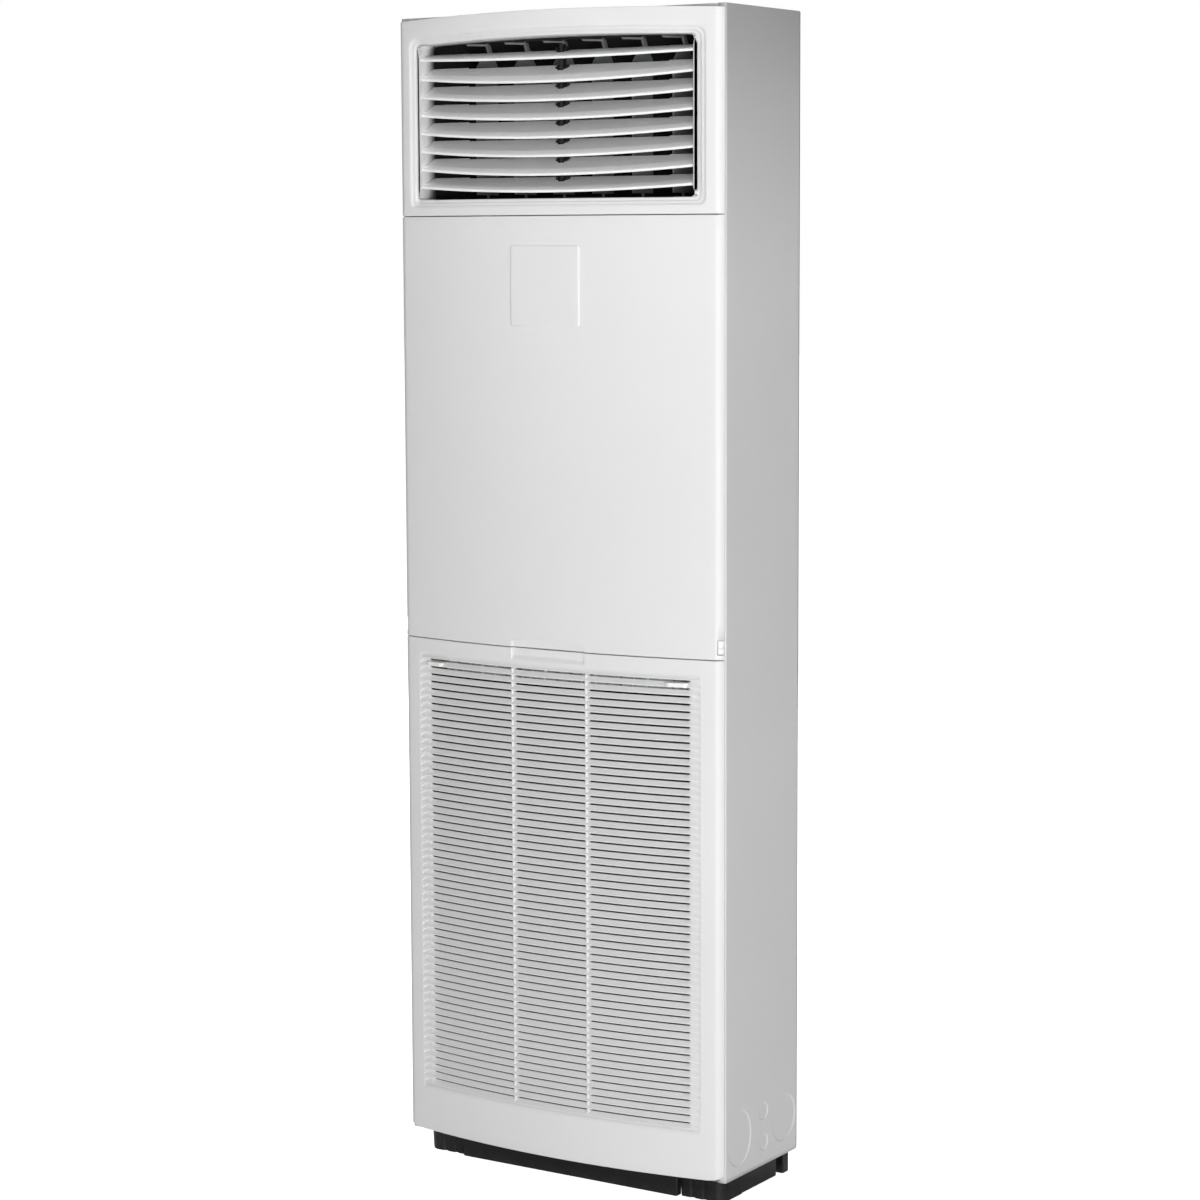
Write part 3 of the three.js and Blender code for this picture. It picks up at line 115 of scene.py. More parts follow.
def finish(name, colour, rough, *, metal=0.0, ior=1.5, tone=0.03, tone_mm=260, gloss=0.05,
           bump_mm=0.9, bump_depth=0.00002, bump="noise", dust=None):
    """Colour times (1 +- tone), roughness +- gloss, and a bump bump_depth metres deep."""
    material = bpy.data.materials.new(name)
    material.use_nodes = True
    material.node_tree.nodes.clear()
    place = add_node(material, "ShaderNodeTexCoord").outputs["Object"]
    drift = add_node(material, "ShaderNodeTexNoise", [("Vector", place)], Scale=grain(tone_mm), Detail=2.0)
    base = np.array(linear(colour)[:3])
    tones = add_node(material, "ShaderNodeValToRGB", [("Fac", drift.outputs["Fac"])])
    tones.color_ramp.elements[0].position = 0.3
    tones.color_ramp.elements[1].position = 0.7
    tones.color_ramp.elements[0].color = (*np.clip(base * (1 - tone), 0, 1).tolist(), 1)
    tones.color_ramp.elements[1].color = (*np.clip(base * (1 + tone), 0, 1).tolist(), 1)
    shade = tones.outputs["Color"]
    if dust:
        heights = add_node(material, "ShaderNodeSeparateXYZ", [("Vector", place)])
        low = add_node(material, "ShaderNodeMapRange", [("Value", heights.outputs["Z"])],
                       From_Min=0.02, From_Max=0.0, To_Min=0.0, To_Max=0.12)
        patch = add_node(material, "ShaderNodeTexNoise", [("Vector", place)], Scale=grain(14), Detail=5.0)
        amount = add_node(material, "ShaderNodeMath", operation="MULTIPLY",
                          links=[(0, low.outputs["Result"]), (1, patch.outputs["Fac"])])
        mixed = add_node(material, "ShaderNodeMix", data_type="RGBA")
        material.node_tree.links.new(mixed.inputs["Factor"], amount.outputs["Value"])
        material.node_tree.links.new(mixed.inputs[6], shade)
        mixed.inputs[7].default_value = linear(dust)
        shade = mixed.outputs[2]
    fine = add_node(material, "ShaderNodeTexNoise", [("Vector", place)], Scale=grain(35), Detail=3.0)
    sheen = add_node(material, "ShaderNodeMapRange", [("Value", fine.outputs["Fac"])],
                     From_Min=0.3, From_Max=0.7, To_Min=rough - gloss, To_Max=rough + gloss)
    if bump == "crystals":
        lumps = add_node(material, "ShaderNodeTexVoronoi", [("Vector", place)], Scale=grain(bump_mm))
        height = lumps.outputs["Color"]
    elif bump == "fins":
        lumps = add_node(material, "ShaderNodeTexWave", [("Vector", place)], Scale=grain(bump_mm) / 6.2832)
        height = lumps.outputs["Fac"]
    else:
        lumps = add_node(material, "ShaderNodeTexNoise", [("Vector", place)],
                         Scale=grain(bump_mm), Detail=2.0)
        height = lumps.outputs["Fac"]
    relief = add_node(material, "ShaderNodeBump", [("Height", height)], Distance=bump_depth, Strength=1.0)
    shader = add_node(material, "ShaderNodeBsdfPrincipled", Metallic=metal, links=[
        ("Base Color", shade), ("Roughness", sheen.outputs["Result"]), ("Normal", relief.outputs["Normal"])])
    if not metal:
        shader.inputs["IOR"].default_value = ior
    add_node(material, "ShaderNodeOutputMaterial", [("Surface", shader.outputs["BSDF"])])
    return material


# %% [markdown]
# Each material is named for what it is made of and how. Where the real grain is too fine to show, it is
# drawn coarser, and the comment says so.

# %% Finishes of this object
# ABS copies its tool: satin, with a texture of 0.1 mm that is drawn 0.9 mm wide so that it shows.
front_abs = finish("ABS_moulded_spark_textured_white", "#e6e6e6", 0.54, ior=1.54, tone=0.012,
                   bump_mm=0.9, bump_depth=0.000008)
# The same plastic in a plain tool. It is drawn lighter than the panels as painted light: the extra lightness
# stands in for light that the lamps do not bring in between the blades, and it brings the blades nearer to
# their tone in the picture, so this colour is fitted and not read.
blade_abs = finish("ABS_moulded_white_with_painted_light", "#fafafa", 0.42, ior=1.54, tone=0.02,
                   bump_mm=1.2, bump_depth=0.00001)
# Polyester powder melts into a skin with a soft orange peel, about 2.5 mm from lump to lump.
powder_paint = finish("steel_powder_coated_light_grey", "#d6d6d6", 0.38, ior=1.5, tone=0.015,
                      bump_mm=2.6, bump_depth=0.000018)
# Acetal clips are self-coloured, smooth and slightly waxy.
white_acetal = finish("acetal_moulded_white", "#f2f2ef", 0.28, ior=1.48, tone=0.01,
                      bump_mm=3.0, bump_depth=0.000006)
# The base is dipped in a black electrocoat: even, thin and semi-gloss, and dusty at the floor.
black_coat = finish("steel_electrocoated_black", "#101011", 0.42, ior=1.5, tone=0.12, tone_mm=60,
                    bump_mm=1.6, bump_depth=0.00002, dust="#8d8a85")
black_nylon = finish("nylon_moulded_black", "#1a1b1c", 0.5, ior=1.53, tone=0.08, tone_mm=40,
                     bump_mm=1.0, bump_depth=0.00002)
# The vanes are light grey plastic. They are drawn mid grey, and this darkening is painted shade for the
# shade inside the outlet where they sit.
vane_plastic = finish("ABS_moulded_grey_with_painted_shade", "#6e7070", 0.42, ior=1.54, tone=0.03, tone_mm=50,
                      bump_mm=1.1, bump_depth=0.000015)
dark_plastic = finish("polypropylene_moulded_dark_grey", "#4b4e50", 0.5, ior=1.49, tone=0.06, tone_mm=40,
                      bump_mm=1.1, bump_depth=0.00002)
# Closed-cell foam lines the duct. Its cells are about 2 mm and it gives back almost no light.
foam_lining = finish("polyethylene_foam_black", "#141516", 0.95, ior=1.4, tone=0.2, tone_mm=8,
                     gloss=0.02, bump_mm=2.0, bump_depth=0.0004)
# Zinc freezes on the sheet as flat crystals, about 9 mm across, that each tilt the light.
zinc_sheet = finish("steel_galvanised_spangled", "#9ea3a6", 0.4, metal=0.9, tone=0.08, tone_mm=9,
                    gloss=0.12, bump_mm=9.0, bump_depth=0.00004, bump="crystals")
# Fin edges are 1.8 mm apart. The relief shows as broader bands than that when the coil is in view.
fin_foil = finish("aluminium_foil_fins", "#b9bdc0", 0.42, metal=1.0, tone=0.06, tone_mm=30,
                  bump_mm=1.8, bump_depth=0.0008, bump="fins")
drawn_copper = finish("copper_drawn_tube", "#b8714a", 0.3, metal=1.0, tone=0.18, tone_mm=22,
                      gloss=0.1, bump_mm=1.2, bump_depth=0.00001)
filter_net = finish("nylon_woven_net_grey", "#3c3f41", 0.7, ior=1.53, tone=0.1, tone_mm=2,
                    bump_mm=1.5, bump_depth=0.0003)
motor_enamel = finish("steel_enamelled_black", "#222325", 0.33, ior=1.52, tone=0.08, tone_mm=30,
                      bump_mm=3.0, bump_depth=0.00003)

# %% [markdown]
# Each measured node keeps its own shape and takes a finish. The top plate, the grille latches and the vanes
# get a narrow bevel on their edges, because a real edge is never perfectly sharp and the bevel catches
# light.

# %% Finishes on the measured nodes
finish_of = {
    powder_paint: ["top_plate", "left_side_panel", "right_side_panel"],
    front_abs: ["outlet_bezel", "middle_panel", "square_cover_plate", "suction_grille"],
    blade_abs: [f"louvre_blade_{i}" for i in range(1, 9)],
    white_acetal: ["panel_clip_left", "panel_clip_right", "grille_latch_left", "grille_latch_right",
                   "terminal_block"],
    black_coat: ["base_frame"],
    motor_enamel: ["fan_motor"],
    black_nylon: ["grille_hinge_left", "grille_hinge_right", "air_filter", "louvre_link", "vane_link",
                  "vane_rail"],
    vane_plastic: [f"vane_{i}" for i in range(1, 7)],
    dark_plastic: ["fan_wheel", "louvre_motor", "vane_motor"],
    foam_lining: ["outlet_duct", "drain_pan"],
    zinc_sheet: ["bottom_plate", "rear_panel", "fan_scroll", "inlet_ring", "motor_shaft", "motor_bracket",
                 "fan_deck", "coil_baffle", "control_box", "control_box_lid"],
    fin_foil: ["coil_fin_pack"],
    drawn_copper: ["coil_sheet_left", "coil_sheet_right", "suction_header", "gas_pipe", "liquid_pipe"],
    filter_net: ["filter_mesh"],
}
for material, names in finish_of.items():
    for node_name in names:
        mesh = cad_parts[node_name].data
        mesh.materials.clear()
        mesh.materials.append(material)
print("finished nodes:", sum(len(names) for names in finish_of.values()))


def soften(piece, width_mm, segments=2):
    """Welds the loose triangles and rounds edges sharper than 30 degrees by width_mm."""
    weld = piece.modifiers.new("weld", "WELD")
    weld.merge_threshold = 1e-6
    bevel = piece.modifiers.new("edges", "BEVEL")
    bevel.width = width_mm / 1000
    bevel.segments = segments
    bevel.limit_method = "ANGLE"
    bevel.angle_limit = np.radians(30)
    bevel.harden_normals = True


softened = ["top_plate", "grille_latch_left", "grille_latch_right"] + finish_of[vane_plastic]
for node_name in softened:
    soften(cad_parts[node_name], 0.5)

# %% [markdown]
# ## The bowed front
# The three mouldings share one plan: a face of large radius, a corner of 18 mm at each side and a short
# return. Points are worked out from their place across the face, their height and their depth behind
# the face, so that borders, recesses and louvres follow the bow without any bending afterwards.

# %% Front geometry, in mm
HALF_WIDTH, HEIGHT = 300.0, 1850.0
FRONT, SEAM, BACK = -133.75, -90.75, 136.25
REAR = SEAM - 1.0                       # rear edge of the mouldings, a shadow gap before the sides
CORNER = 18.0
CORNER_X = 282.0
BOW = 29.0
RADIUS = (CORNER_X ** 2 + BOW ** 2) / (2 * BOW)
CENTRE_Y = FRONT + RADIUS
CORNER_Y = CENTRE_Y - np.sqrt((RADIUS - CORNER) ** 2 - CORNER_X ** 2)
CORNER_START = np.arcsin(CORNER_X / (RADIUS - CORNER))
CORNER_END = np.arccos((CORNER_Y - REAR) / CORNER)
FACE_X = RADIUS * np.sin(CORNER_START)  # where the face turns into the corner


def face_y(x, depth=0.0):
    """Y at X, on the circle of the face drawn in by a depth."""
    return CENTRE_Y - np.sqrt((RADIUS - depth) ** 2 - np.asarray(x, float) ** 2)


def front_points(turn, z, depth=0.0):
    """Points at a turn of the surface: the face up to CORNER_START, then round the corner."""
    turn, z, depth = np.broadcast_arrays(np.asarray(turn, float), z, depth)
    size, side = np.abs(turn), np.sign(turn)
    on_face = size <= CORNER_START
    x = np.where(on_face, (RADIUS - depth) * np.sin(size), CORNER_X + (CORNER - depth) * np.sin(size))
    y = np.where(on_face, CENTRE_Y - (RADIUS - depth) * np.cos(size),
                 CORNER_Y - (CORNER - depth) * np.cos(size))
    return np.stack([side * x, y, z], axis=-1)


def face_points(x, z, depth=0.0):
    """Points at X and Z, at a depth behind the face, for what is pressed straight back into it."""
    x, z, depth = np.broadcast_arrays(np.asarray(x, float), z, depth)
    return np.stack([x, face_y(x, depth), z], axis=-1)


print("face radius", round(RADIUS, 1), "mm, corner starts at X", round(FACE_X, 1))

# %% [markdown]
# A surface starts as a grid of points. One function turns the grid into quads, and the pieces are built
# from such patches and from closed bars. Every piece ends the same way: smooth shading up to a crease
# angle, one material, and the body that it moves with.

# %% Helpers for surfaces


def grid_faces(rows, columns, close_rows=False, close_columns=False):
    """Quads of a grid of points, as an array of index rows."""
    index = np.arange(rows * columns).reshape(rows, columns)
    if close_rows:
        index = np.vstack([index, index[:1]])
    if close_columns:
        index = np.hstack([index, index[:, :1]])
    return np.stack([index[:-1, :-1], index[:-1, 1:], index[1:, 1:], index[1:, :-1]], -1).reshape(-1, 4)


def placed_piece(mesh, material, body, crease):
    """Makes the object of a mesh: smooth up to the crease angle, with its material and its body."""
    mesh.polygons.foreach_set("use_smooth", np.ones(len(mesh.polygons), bool))
    mesh.set_sharp_from_angle(angle=np.radians(crease))
    mesh.materials.append(material)
    piece = bpy.data.objects.new(mesh.name, mesh)
    bpy.context.scene.collection.objects.link(piece)
    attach(piece, body)
    print(piece.name, len(mesh.polygons), "faces")
    return piece


def surface_piece(name, patches, material, body, crease, towards=None):
    """One mesh from patches of (points in mm, faces). Doubles are merged and normals face outwards;
    an open skin is turned so that it faces the direction towards."""
    starts = np.cumsum([0] + [points.reshape(-1, 3).shape[0] for points, _ in patches])
    vertices = np.concatenate([points.reshape(-1, 3) for points, _ in patches]) / 1000
    faces = [face for (_, quads), start in zip(patches, starts) for face in (quads + start).tolist()]
    mesh = bpy.data.meshes.new(name)
    mesh.from_pydata(vertices.tolist(), [], faces)
    work = bmesh.new()
    work.from_mesh(mesh)
    bmesh.ops.remove_doubles(work, verts=work.verts, dist=2e-6)
    bmesh.ops.dissolve_degenerate(work, edges=work.edges, dist=1e-7)
    bmesh.ops.recalc_face_normals(work, faces=work.faces)
    if towards is not None:
        total = sum((face.normal * face.calc_area() for face in work.faces), Vector())
        if total.dot(Vector(towards)) < 0:
            bmesh.ops.reverse_faces(work, faces=work.faces)
    work.to_mesh(mesh)
    work.free()
    return placed_piece(mesh, material, body, crease)


def thicken(piece, wall_mm):
    """Gives a skin its wall, towards the inside."""
    solidify = piece.modifiers.new("wall", "SOLIDIFY")
    solidify.thickness = wall_mm / 1000
    solidify.offset = -1
    return piece


# Plan stations shared by the mouldings, and the rounded edge where one meets the next
FACE_STEPS = 56
face_turns = np.arcsin(np.linspace(-FACE_X, FACE_X, FACE_STEPS + 1) / RADIUS)
corner_turns = np.linspace(CORNER_START, CORNER_END, 13)[1:]
plan_turns = np.concatenate([-corner_turns[::-1], face_turns, corner_turns])
EDGE = 1.1
edge_angles = np.radians([0, 30, 60, 90])
edge_rows = [(EDGE * (1 - np.sin(a)), EDGE * (1 - np.cos(a))) for a in edge_angles]
RETURN = 14.0

# %% [markdown]
# ## Outlet bezel
# The upper moulding frames the air outlet. A border steps down to the opening in two small bevels, and
# the wall of the outlet runs straight back. Cutting a hole in a bent sheet would leave a ragged edge, so
# the skin is a family of closed loops instead: the opening's outline is grown step by step, each loop at
# its own depth, until it has become the outline of the whole panel.

# %% Outlet bezel
BEZEL_LOW = 1538.1
OUTLET_X, OUTLET_LOW, OUTLET_HIGH, OUTLET_RISE = 255.5, 1563.5, 1805.0, 6.0
CROWN_DROP = 6.0
JAMB_BACK = FRONT + 69.0
SIDE_STEPS = 36
BEND = 5


def crown(x):
    """Arched top edge of the cabinet's front: it falls with the square of X."""
    return HEIGHT - CROWN_DROP * (np.asarray(x) / HALF_WIDTH) ** 2


def outlet_loop(grow_x, grow_z, bend):
    """Outline of the outlet grown by two margins: four sides whose ends share a rounded corner."""
    half, low, high = OUTLET_X + grow_x, OUTLET_LOW - grow_z, OUTLET_HIGH + grow_z
    low_bend = 0.6 * bend
    quarter = np.linspace(0, np.pi / 4, BEND, endpoint=False)

    def arch(x):
        return high + OUTLET_RISE * (1 - (x / half) ** 2)

    def corner_half(cx, cz, radius, angle0):
        return np.stack([cx + radius * np.cos(angle0 + quarter), cz + radius * np.sin(angle0 + quarter)], -1)

    low_x, low_z, high_x = half - low_bend, low + low_bend, half - bend
    top_z = arch(high_x) - bend
    bottom = np.concatenate([
        corner_half(-low_x, low_z, low_bend, np.radians(225)),
        np.stack([np.linspace(-low_x, low_x, FACE_STEPS - 2 * BEND + 1),
                  np.full(FACE_STEPS - 2 * BEND + 1, low)], -1),
        corner_half(low_x, low_z, low_bend, np.radians(270))[1:],
    ])
    right_side = np.concatenate([
        corner_half(low_x, low_z, low_bend, np.radians(315)),
        np.stack([np.full(SIDE_STEPS - 2 * BEND + 1, half),
                  np.linspace(low_z, top_z, SIDE_STEPS - 2 * BEND + 1)], -1),
        corner_half(high_x, top_z, bend, 0.0)[1:],
    ])
    top_x = np.linspace(high_x, -high_x, FACE_STEPS - 2 * BEND + 1)
    top = np.concatenate([
        corner_half(high_x, top_z, bend, np.radians(45)),
        np.stack([top_x, arch(top_x)], -1),
        corner_half(-high_x, top_z, bend, np.radians(90))[1:],
    ])
    left_side = np.concatenate([
        corner_half(-high_x, top_z, bend, np.radians(135)),
        np.stack([np.full(SIDE_STEPS - 2 * BEND + 1, -half),
                  np.linspace(top_z, low_z, SIDE_STEPS - 2 * BEND + 1)], -1),
        corner_half(-low_x, low_z, low_bend, np.radians(180))[1:],
    ])
    return np.concatenate([bottom, right_side, top, left_side])


def panel_loop():
    """Outline of the flat part of the panel, with the same number of points on each side."""
    x = np.linspace(-FACE_X, FACE_X, FACE_STEPS + 1)
    z_top = crown(FACE_X) - EDGE
    z = np.linspace(BEZEL_LOW + EDGE, z_top, SIDE_STEPS + 1)
    return np.concatenate([
        np.stack([x, np.full_like(x, BEZEL_LOW + EDGE)], -1)[:-1],
        np.stack([np.full_like(z, FACE_X), z], -1)[:-1],
        np.stack([x, crown(x) - EDGE], -1)[::-1][:-1],
        np.stack([np.full_like(z, -FACE_X), z], -1)[::-1][:-1],
    ])


# (growth across, growth up, corner, depth) of the border, from the mouth of the outlet outwards
border = [
    (0.0, 0.0, 9.0, 9.6), (0.2, 0.2, 9.2, 8.6), (0.9, 0.8, 9.8, 7.5), (2.2, 1.8, 11.0, 7.0),
    (6.0, 4.0, 12.0, 7.0), (6.6, 4.4, 12.3, 6.8), (9.4, 6.2, 13.2, 3.3), (10.2, 6.8, 13.6, 3.0),
    (14.2, 9.2, 14.8, 3.0), (14.9, 9.6, 15.2, 2.7), (17.6, 11.4, 16.6, 0.35), (18.6, 12.1, 17.2, 0.0),
]
loops = [outlet_loop(*row[:3]) for row in border]
depths = [row[3] for row in border]
outer = panel_loop()
mouth = loops[0]
jamb = [np.column_stack([mouth[:, 0], np.full(len(mouth), y), mouth[:, 1]])
        for y in (JAMB_BACK, JAMB_BACK - 22, JAMB_BACK - 44)]
skin = [face_points(loop[:, 0], loop[:, 1], depth) for loop, depth in zip(loops, depths)]
blends = [loops[-1] * (1 - t) + outer * t for t in (0.3, 0.65, 1.0)]
skin += [face_points(loop[:, 0], loop[:, 1]) for loop in blends]
rows = np.array(jamb + skin)

corner_z = np.linspace(BEZEL_LOW + EDGE, crown(FACE_X) - EDGE, SIDE_STEPS + 1)
corner_sets = []
for side in (-1, 1):
    turns = side * np.concatenate([[CORNER_START], corner_turns])
    x = np.abs(front_points(turns, 0.0)[:, 0])
    z = BEZEL_LOW + EDGE + (corner_z[:, None] - BEZEL_LOW - EDGE) * (
        (crown(x) - EDGE - BEZEL_LOW - EDGE) / (crown(FACE_X) - EDGE - BEZEL_LOW - EDGE))[None, :]
    corner_sets.append(front_points(turns[None, :], z))


def edge_strip(z_edge, upwards):
    """The rounded edge and the short return along all of the plan, below or above a panel."""
    sign = 1 if upwards else -1
    profile = edge_rows + [(0.0, 4.0), (0.0, RETURN)]
    strip = [front_points(plan_turns, z_edge - sign * up_by, np.minimum(into, CORNER - 1.5))
             for up_by, into in profile]
    return np.array(strip)


plan_x = np.abs(front_points(plan_turns, 0.0)[:, 0])
low_strip = edge_strip(np.full_like(plan_x, BEZEL_LOW), False)
high_strip = edge_strip(crown(plan_x), True)
bezel = surface_piece(
    "bezel_skin",
    [(rows, grid_faces(*rows.shape[:2], close_columns=True))]
    + [(p, grid_faces(*p.shape[:2])) for p in (*corner_sets, low_strip, high_strip)],
    front_abs, "cabinet", crease=38, towards=(0, -1, 0))
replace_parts(thicken(bezel, 2.4), "outlet_bezel")

# %% [markdown]
# ## Middle panel
# A plain bowed skin, with one scoop at its lower edge for the fingertips. The scoop is a flat slope that
# cuts into the bulge, so its upper limit draws the shallow arc that shows in the picture. The skin is
# one grid whose depth is the larger of nothing and the slope.

# %% Middle panel
MIDDLE_LOW, MIDDLE_HIGH = 862.8, 1536.7
SCOOP_X, SCOOP_CREST, SCOOP_SLOPE = 69.0, 879.4, 0.245
CREST_STEP = 1.3                        # the slope starts with a small step, which draws its upper edge
CLIP_LOW, CLIP_HIGH, CLIP_TURN = 870.2, 893.0, np.radians(32)


def scoop_depth(x, z):
    """How far the slope lies behind the face: slope times the drop below its crest, less the bow."""
    inside = np.clip((SCOOP_X - np.abs(x)) / 0.8, 0, 1)
    slope = FRONT + SCOOP_SLOPE * (SCOOP_CREST - z) - face_y(np.minimum(np.abs(x), FACE_X))
    return np.maximum(slope + CREST_STEP * np.clip(slope / 0.08, 0, 1), 0) * inside


def with_stops(turns, stops_x):
    """Adds exact places across the face to a list of turns."""
    extra = np.arcsin(np.asarray(stops_x) / RADIUS)
    return np.unique(np.round(np.concatenate([turns, extra, -extra]), 9))


middle_turns = with_stops(plan_turns, [SCOOP_X, SCOOP_X - 0.8, *np.linspace(2, 67, 34)])
middle_turns = np.unique(np.append(middle_turns, [-CLIP_TURN, CLIP_TURN]))
fine_z = np.linspace(MIDDLE_LOW + EDGE, 881, 58)
middle_z = np.concatenate([fine_z, [CLIP_HIGH], np.linspace(CLIP_HIGH, MIDDLE_HIGH - EDGE, 24)[1:]])
middle_z = np.unique(np.append(middle_z, CLIP_LOW))
turn_grid, z_grid = np.meshgrid(middle_turns, middle_z)
x_grid = front_points(turn_grid, 0.0)[..., 0]
middle_rows = front_points(turn_grid, z_grid, scoop_depth(x_grid, z_grid))
scoop_low = scoop_depth(x_grid[0], MIDDLE_LOW + EDGE)
profile = edge_rows + [(0.0, 5.0), (0.0, RETURN)]
low_edge = np.array([front_points(middle_turns, MIDDLE_LOW + up_by, np.maximum(into, 0) + (
    scoop_low if into < 4 else np.maximum(scoop_low - 1, 0) * (into < 8))) for up_by, into in profile])
high_edge = np.array([front_points(middle_turns, MIDDLE_HIGH - up_by, into) for up_by, into in profile])
middle_faces = grid_faces(*middle_rows.shape[:2])
face_z = middle_z[middle_faces[:, 0] // len(middle_turns)]
face_turn = np.abs(middle_turns[middle_faces % len(middle_turns)]).min(axis=1)
notch = (face_z >= CLIP_LOW - 0.01) & (face_z < CLIP_HIGH - 0.01) & (face_turn > CLIP_TURN - 0.001)
middle = surface_piece(
    "middle_skin",
    [(middle_rows, middle_faces[~notch]), (low_edge, grid_faces(*low_edge.shape[:2])),
     (high_edge, grid_faces(*high_edge.shape[:2]))],
    front_abs, "cabinet", crease=50, towards=(0, -1, 0))
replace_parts(thicken(middle, 2.4), "middle_panel")

# %% [markdown]
# ## Clips of the middle panel
# A white clip fills each notch at the lower corners and holds the panel. It is a small plate that
# follows the corner a little behind its surface, with a slit for the tool that releases it.

# %% Clips
clip_turns = np.linspace(CLIP_TURN + 0.05, CORNER_END - 0.02, 8)
clip_z = np.array([CLIP_LOW + 0.7, CLIP_LOW + 1.3, 876.0, 879.5, 880.5, 883.5, 884.5, 888.0,
                   CLIP_HIGH - 1.3, CLIP_HIGH - 0.7])
clip_depth = np.array([1.6, 0.9, 0.9, 0.9, 2.6, 2.6, 0.9, 0.9, 0.9, 1.6])
for side, side_name in ((-1, "left"), (1, "right")):
    clip_rows = front_points(side * clip_turns[None, :], clip_z[:, None], clip_depth[:, None])
    clip = surface_piece(f"{side_name}_clip_plate", [(clip_rows, grid_faces(*clip_rows.shape[:2]))],
                         white_acetal, "cabinet", crease=40, towards=(side, -1, 0))
    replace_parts(thicken(clip, 4.0), f"panel_clip_{side_name}")

# %% [markdown]
# ## Cover plate
# A square plate closes an opening for extras in the middle panel. It is a little proud and its edges
# are rounded. The form is a rounded square whose rings shrink from the rear edge over the rim to the
# middle, each ring at its own height, like the contour lines of a flat hill.

# %% Cover plate
PLATE_X, PLATE_LOW, PLATE_HIGH = 63.5, 1367.0, 1491.5
PLATE_Z = (PLATE_HIGH + PLATE_LOW) / 2


def plate_ring(shrink, bend):
    """Outline of the plate, drawn in by a margin, with 12 points on each corner."""
    half_x, half_z = PLATE_X - shrink, (PLATE_HIGH - PLATE_LOW) / 2 - shrink
    turn = np.linspace(0, 2 * np.pi, 49)[:-1] + np.pi / 96
    cx = np.sign(np.cos(turn)) * (half_x - bend)
    cz = np.sign(np.sin(turn)) * (half_z - bend)
    return np.stack([cx + bend * np.cos(turn), PLATE_Z + cz + bend * np.sin(turn)], -1)


plate_profile = [(0.0, 4.0, 1.2), (0.0, 4.0, -1.1), (0.25, 3.8, -1.9), (0.9, 3.4, -2.4), (1.8, 3.0, -2.5),
                 (8.0, 2.0, -2.5), (22.0, 1.0, -2.5), (42.0, 0.6, -2.5)]
plate_rows = []
for shrink, bend, height_off in plate_profile:
    ring = plate_ring(shrink, bend)
    plate_rows.append(face_points(ring[:, 0], ring[:, 1], height_off))
plate_rows = np.array(plate_rows)
lid = face_points(0.0, PLATE_Z, -2.5).reshape(1, 3)
fan = np.concatenate([plate_rows[-1], lid])
count = plate_rows.shape[1]
fan_faces = np.stack([np.arange(count), np.roll(np.arange(count), -1), np.full(count, count)], -1)
rear = np.concatenate([plate_rows[0], face_points(0.0, PLATE_Z, 1.2).reshape(1, 3)])
plate = surface_piece(
    "cover_plate",
    [(plate_rows, grid_faces(*plate_rows.shape[:2], close_columns=True)),
     (fan, fan_faces), (rear, fan_faces)],
    front_abs, "cabinet", crease=40)
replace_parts(plate, "square_cover_plate")

# %% [markdown]
# ## Suction grille: the frame
# The lower moulding is a frame round 59 slots. The frame is one grid from which the window is left out.
# Its upper edge carries the lower half of the finger recess, and its lower rear corners are cut off so
# that the grille can tip forward over the base.

# %% Grille frame
GRILLE_LOW, GRILLE_HIGH = 45.3, 861.4
SLOTS, SLOT_START, TOP_MARGIN = 59, 132.2, 34.9
SLOT_EXTRA = 0.9                        # drawn taller than the slot, so that its shadow line shows
PITCH = (GRILLE_HIGH - TOP_MARGIN - SLOT_START) / (SLOTS - 1)
SLOT_HEIGHT, NOSE, TROUGH, SLAB = 3.2, 1.8, 6.6, 8.6
SLOT_X, TROUGH_X, RIB_X = 243.0, 264.0, 69.5
WINDOW_LOW = SLOT_START + SLOT_HEIGHT - PITCH
WINDOW_HIGH = SLOT_START + (SLOTS - 1) * PITCH + SLOT_HEIGHT + NOSE
POCKET_LOW, POCKET_DEPTH = GRILLE_HIGH - 19.4, 4.0


def pocket_depth(x, z):
    """Four millimetres inside the recess, with steep walls at its sides and a smooth run-out below."""
    across = np.clip((SCOOP_X - np.abs(x)) / 0.8, 0, 1)
    upright = np.clip((z - POCKET_LOW) / 9.0, 0, 1)
    return POCKET_DEPTH * across * upright * upright * (3 - 2 * upright)


grille_turns = with_stops(plan_turns, [SCOOP_X, SCOOP_X - 0.8, TROUGH_X])
plan = front_points(grille_turns, 0.0)
cut_off = GRILLE_LOW - 1 + (plan[:, 1] - (SEAM - 17)) * 10 / 18
low_edge_z = np.where(np.abs(plan[:, 0]) > 280, np.maximum(GRILLE_LOW, cut_off), GRILLE_LOW)
share = np.linspace(0, 1, 9)[:, None]
lower = (low_edge_z + EDGE)[None, :] * (1 - share) + WINDOW_LOW * share
middle_part = np.linspace(WINDOW_LOW, WINDOW_HIGH, 30)[1:-1, None] + np.zeros_like(low_edge_z)
upper_z = np.concatenate([[WINDOW_HIGH], np.linspace(POCKET_LOW, POCKET_LOW + 9, 10),
                          np.linspace(POCKET_LOW + 11, GRILLE_HIGH - EDGE, 4)])
upper = upper_z[:, None] + np.zeros_like(low_edge_z)
frame_z = np.concatenate([lower, middle_part, upper])
frame_turn = np.broadcast_to(grille_turns, frame_z.shape)
frame_x = np.broadcast_to(plan[:, 0], frame_z.shape)
frame_rows = front_points(frame_turn, frame_z, pocket_depth(frame_x, frame_z))
frame_faces = grid_faces(*frame_rows.shape[:2])
mid_z = frame_z.reshape(-1)[frame_faces].mean(axis=1)
mid_x = np.abs(frame_x.reshape(-1)[frame_faces].mean(axis=1))
window = (mid_z > WINDOW_LOW) & (mid_z < WINDOW_HIGH) & (mid_x < TROUGH_X)
pocket_top = pocket_depth(plan[:, 0], GRILLE_HIGH)
grille_low_edge = np.array([front_points(grille_turns, low_edge_z + up_by, into) for up_by, into in profile])
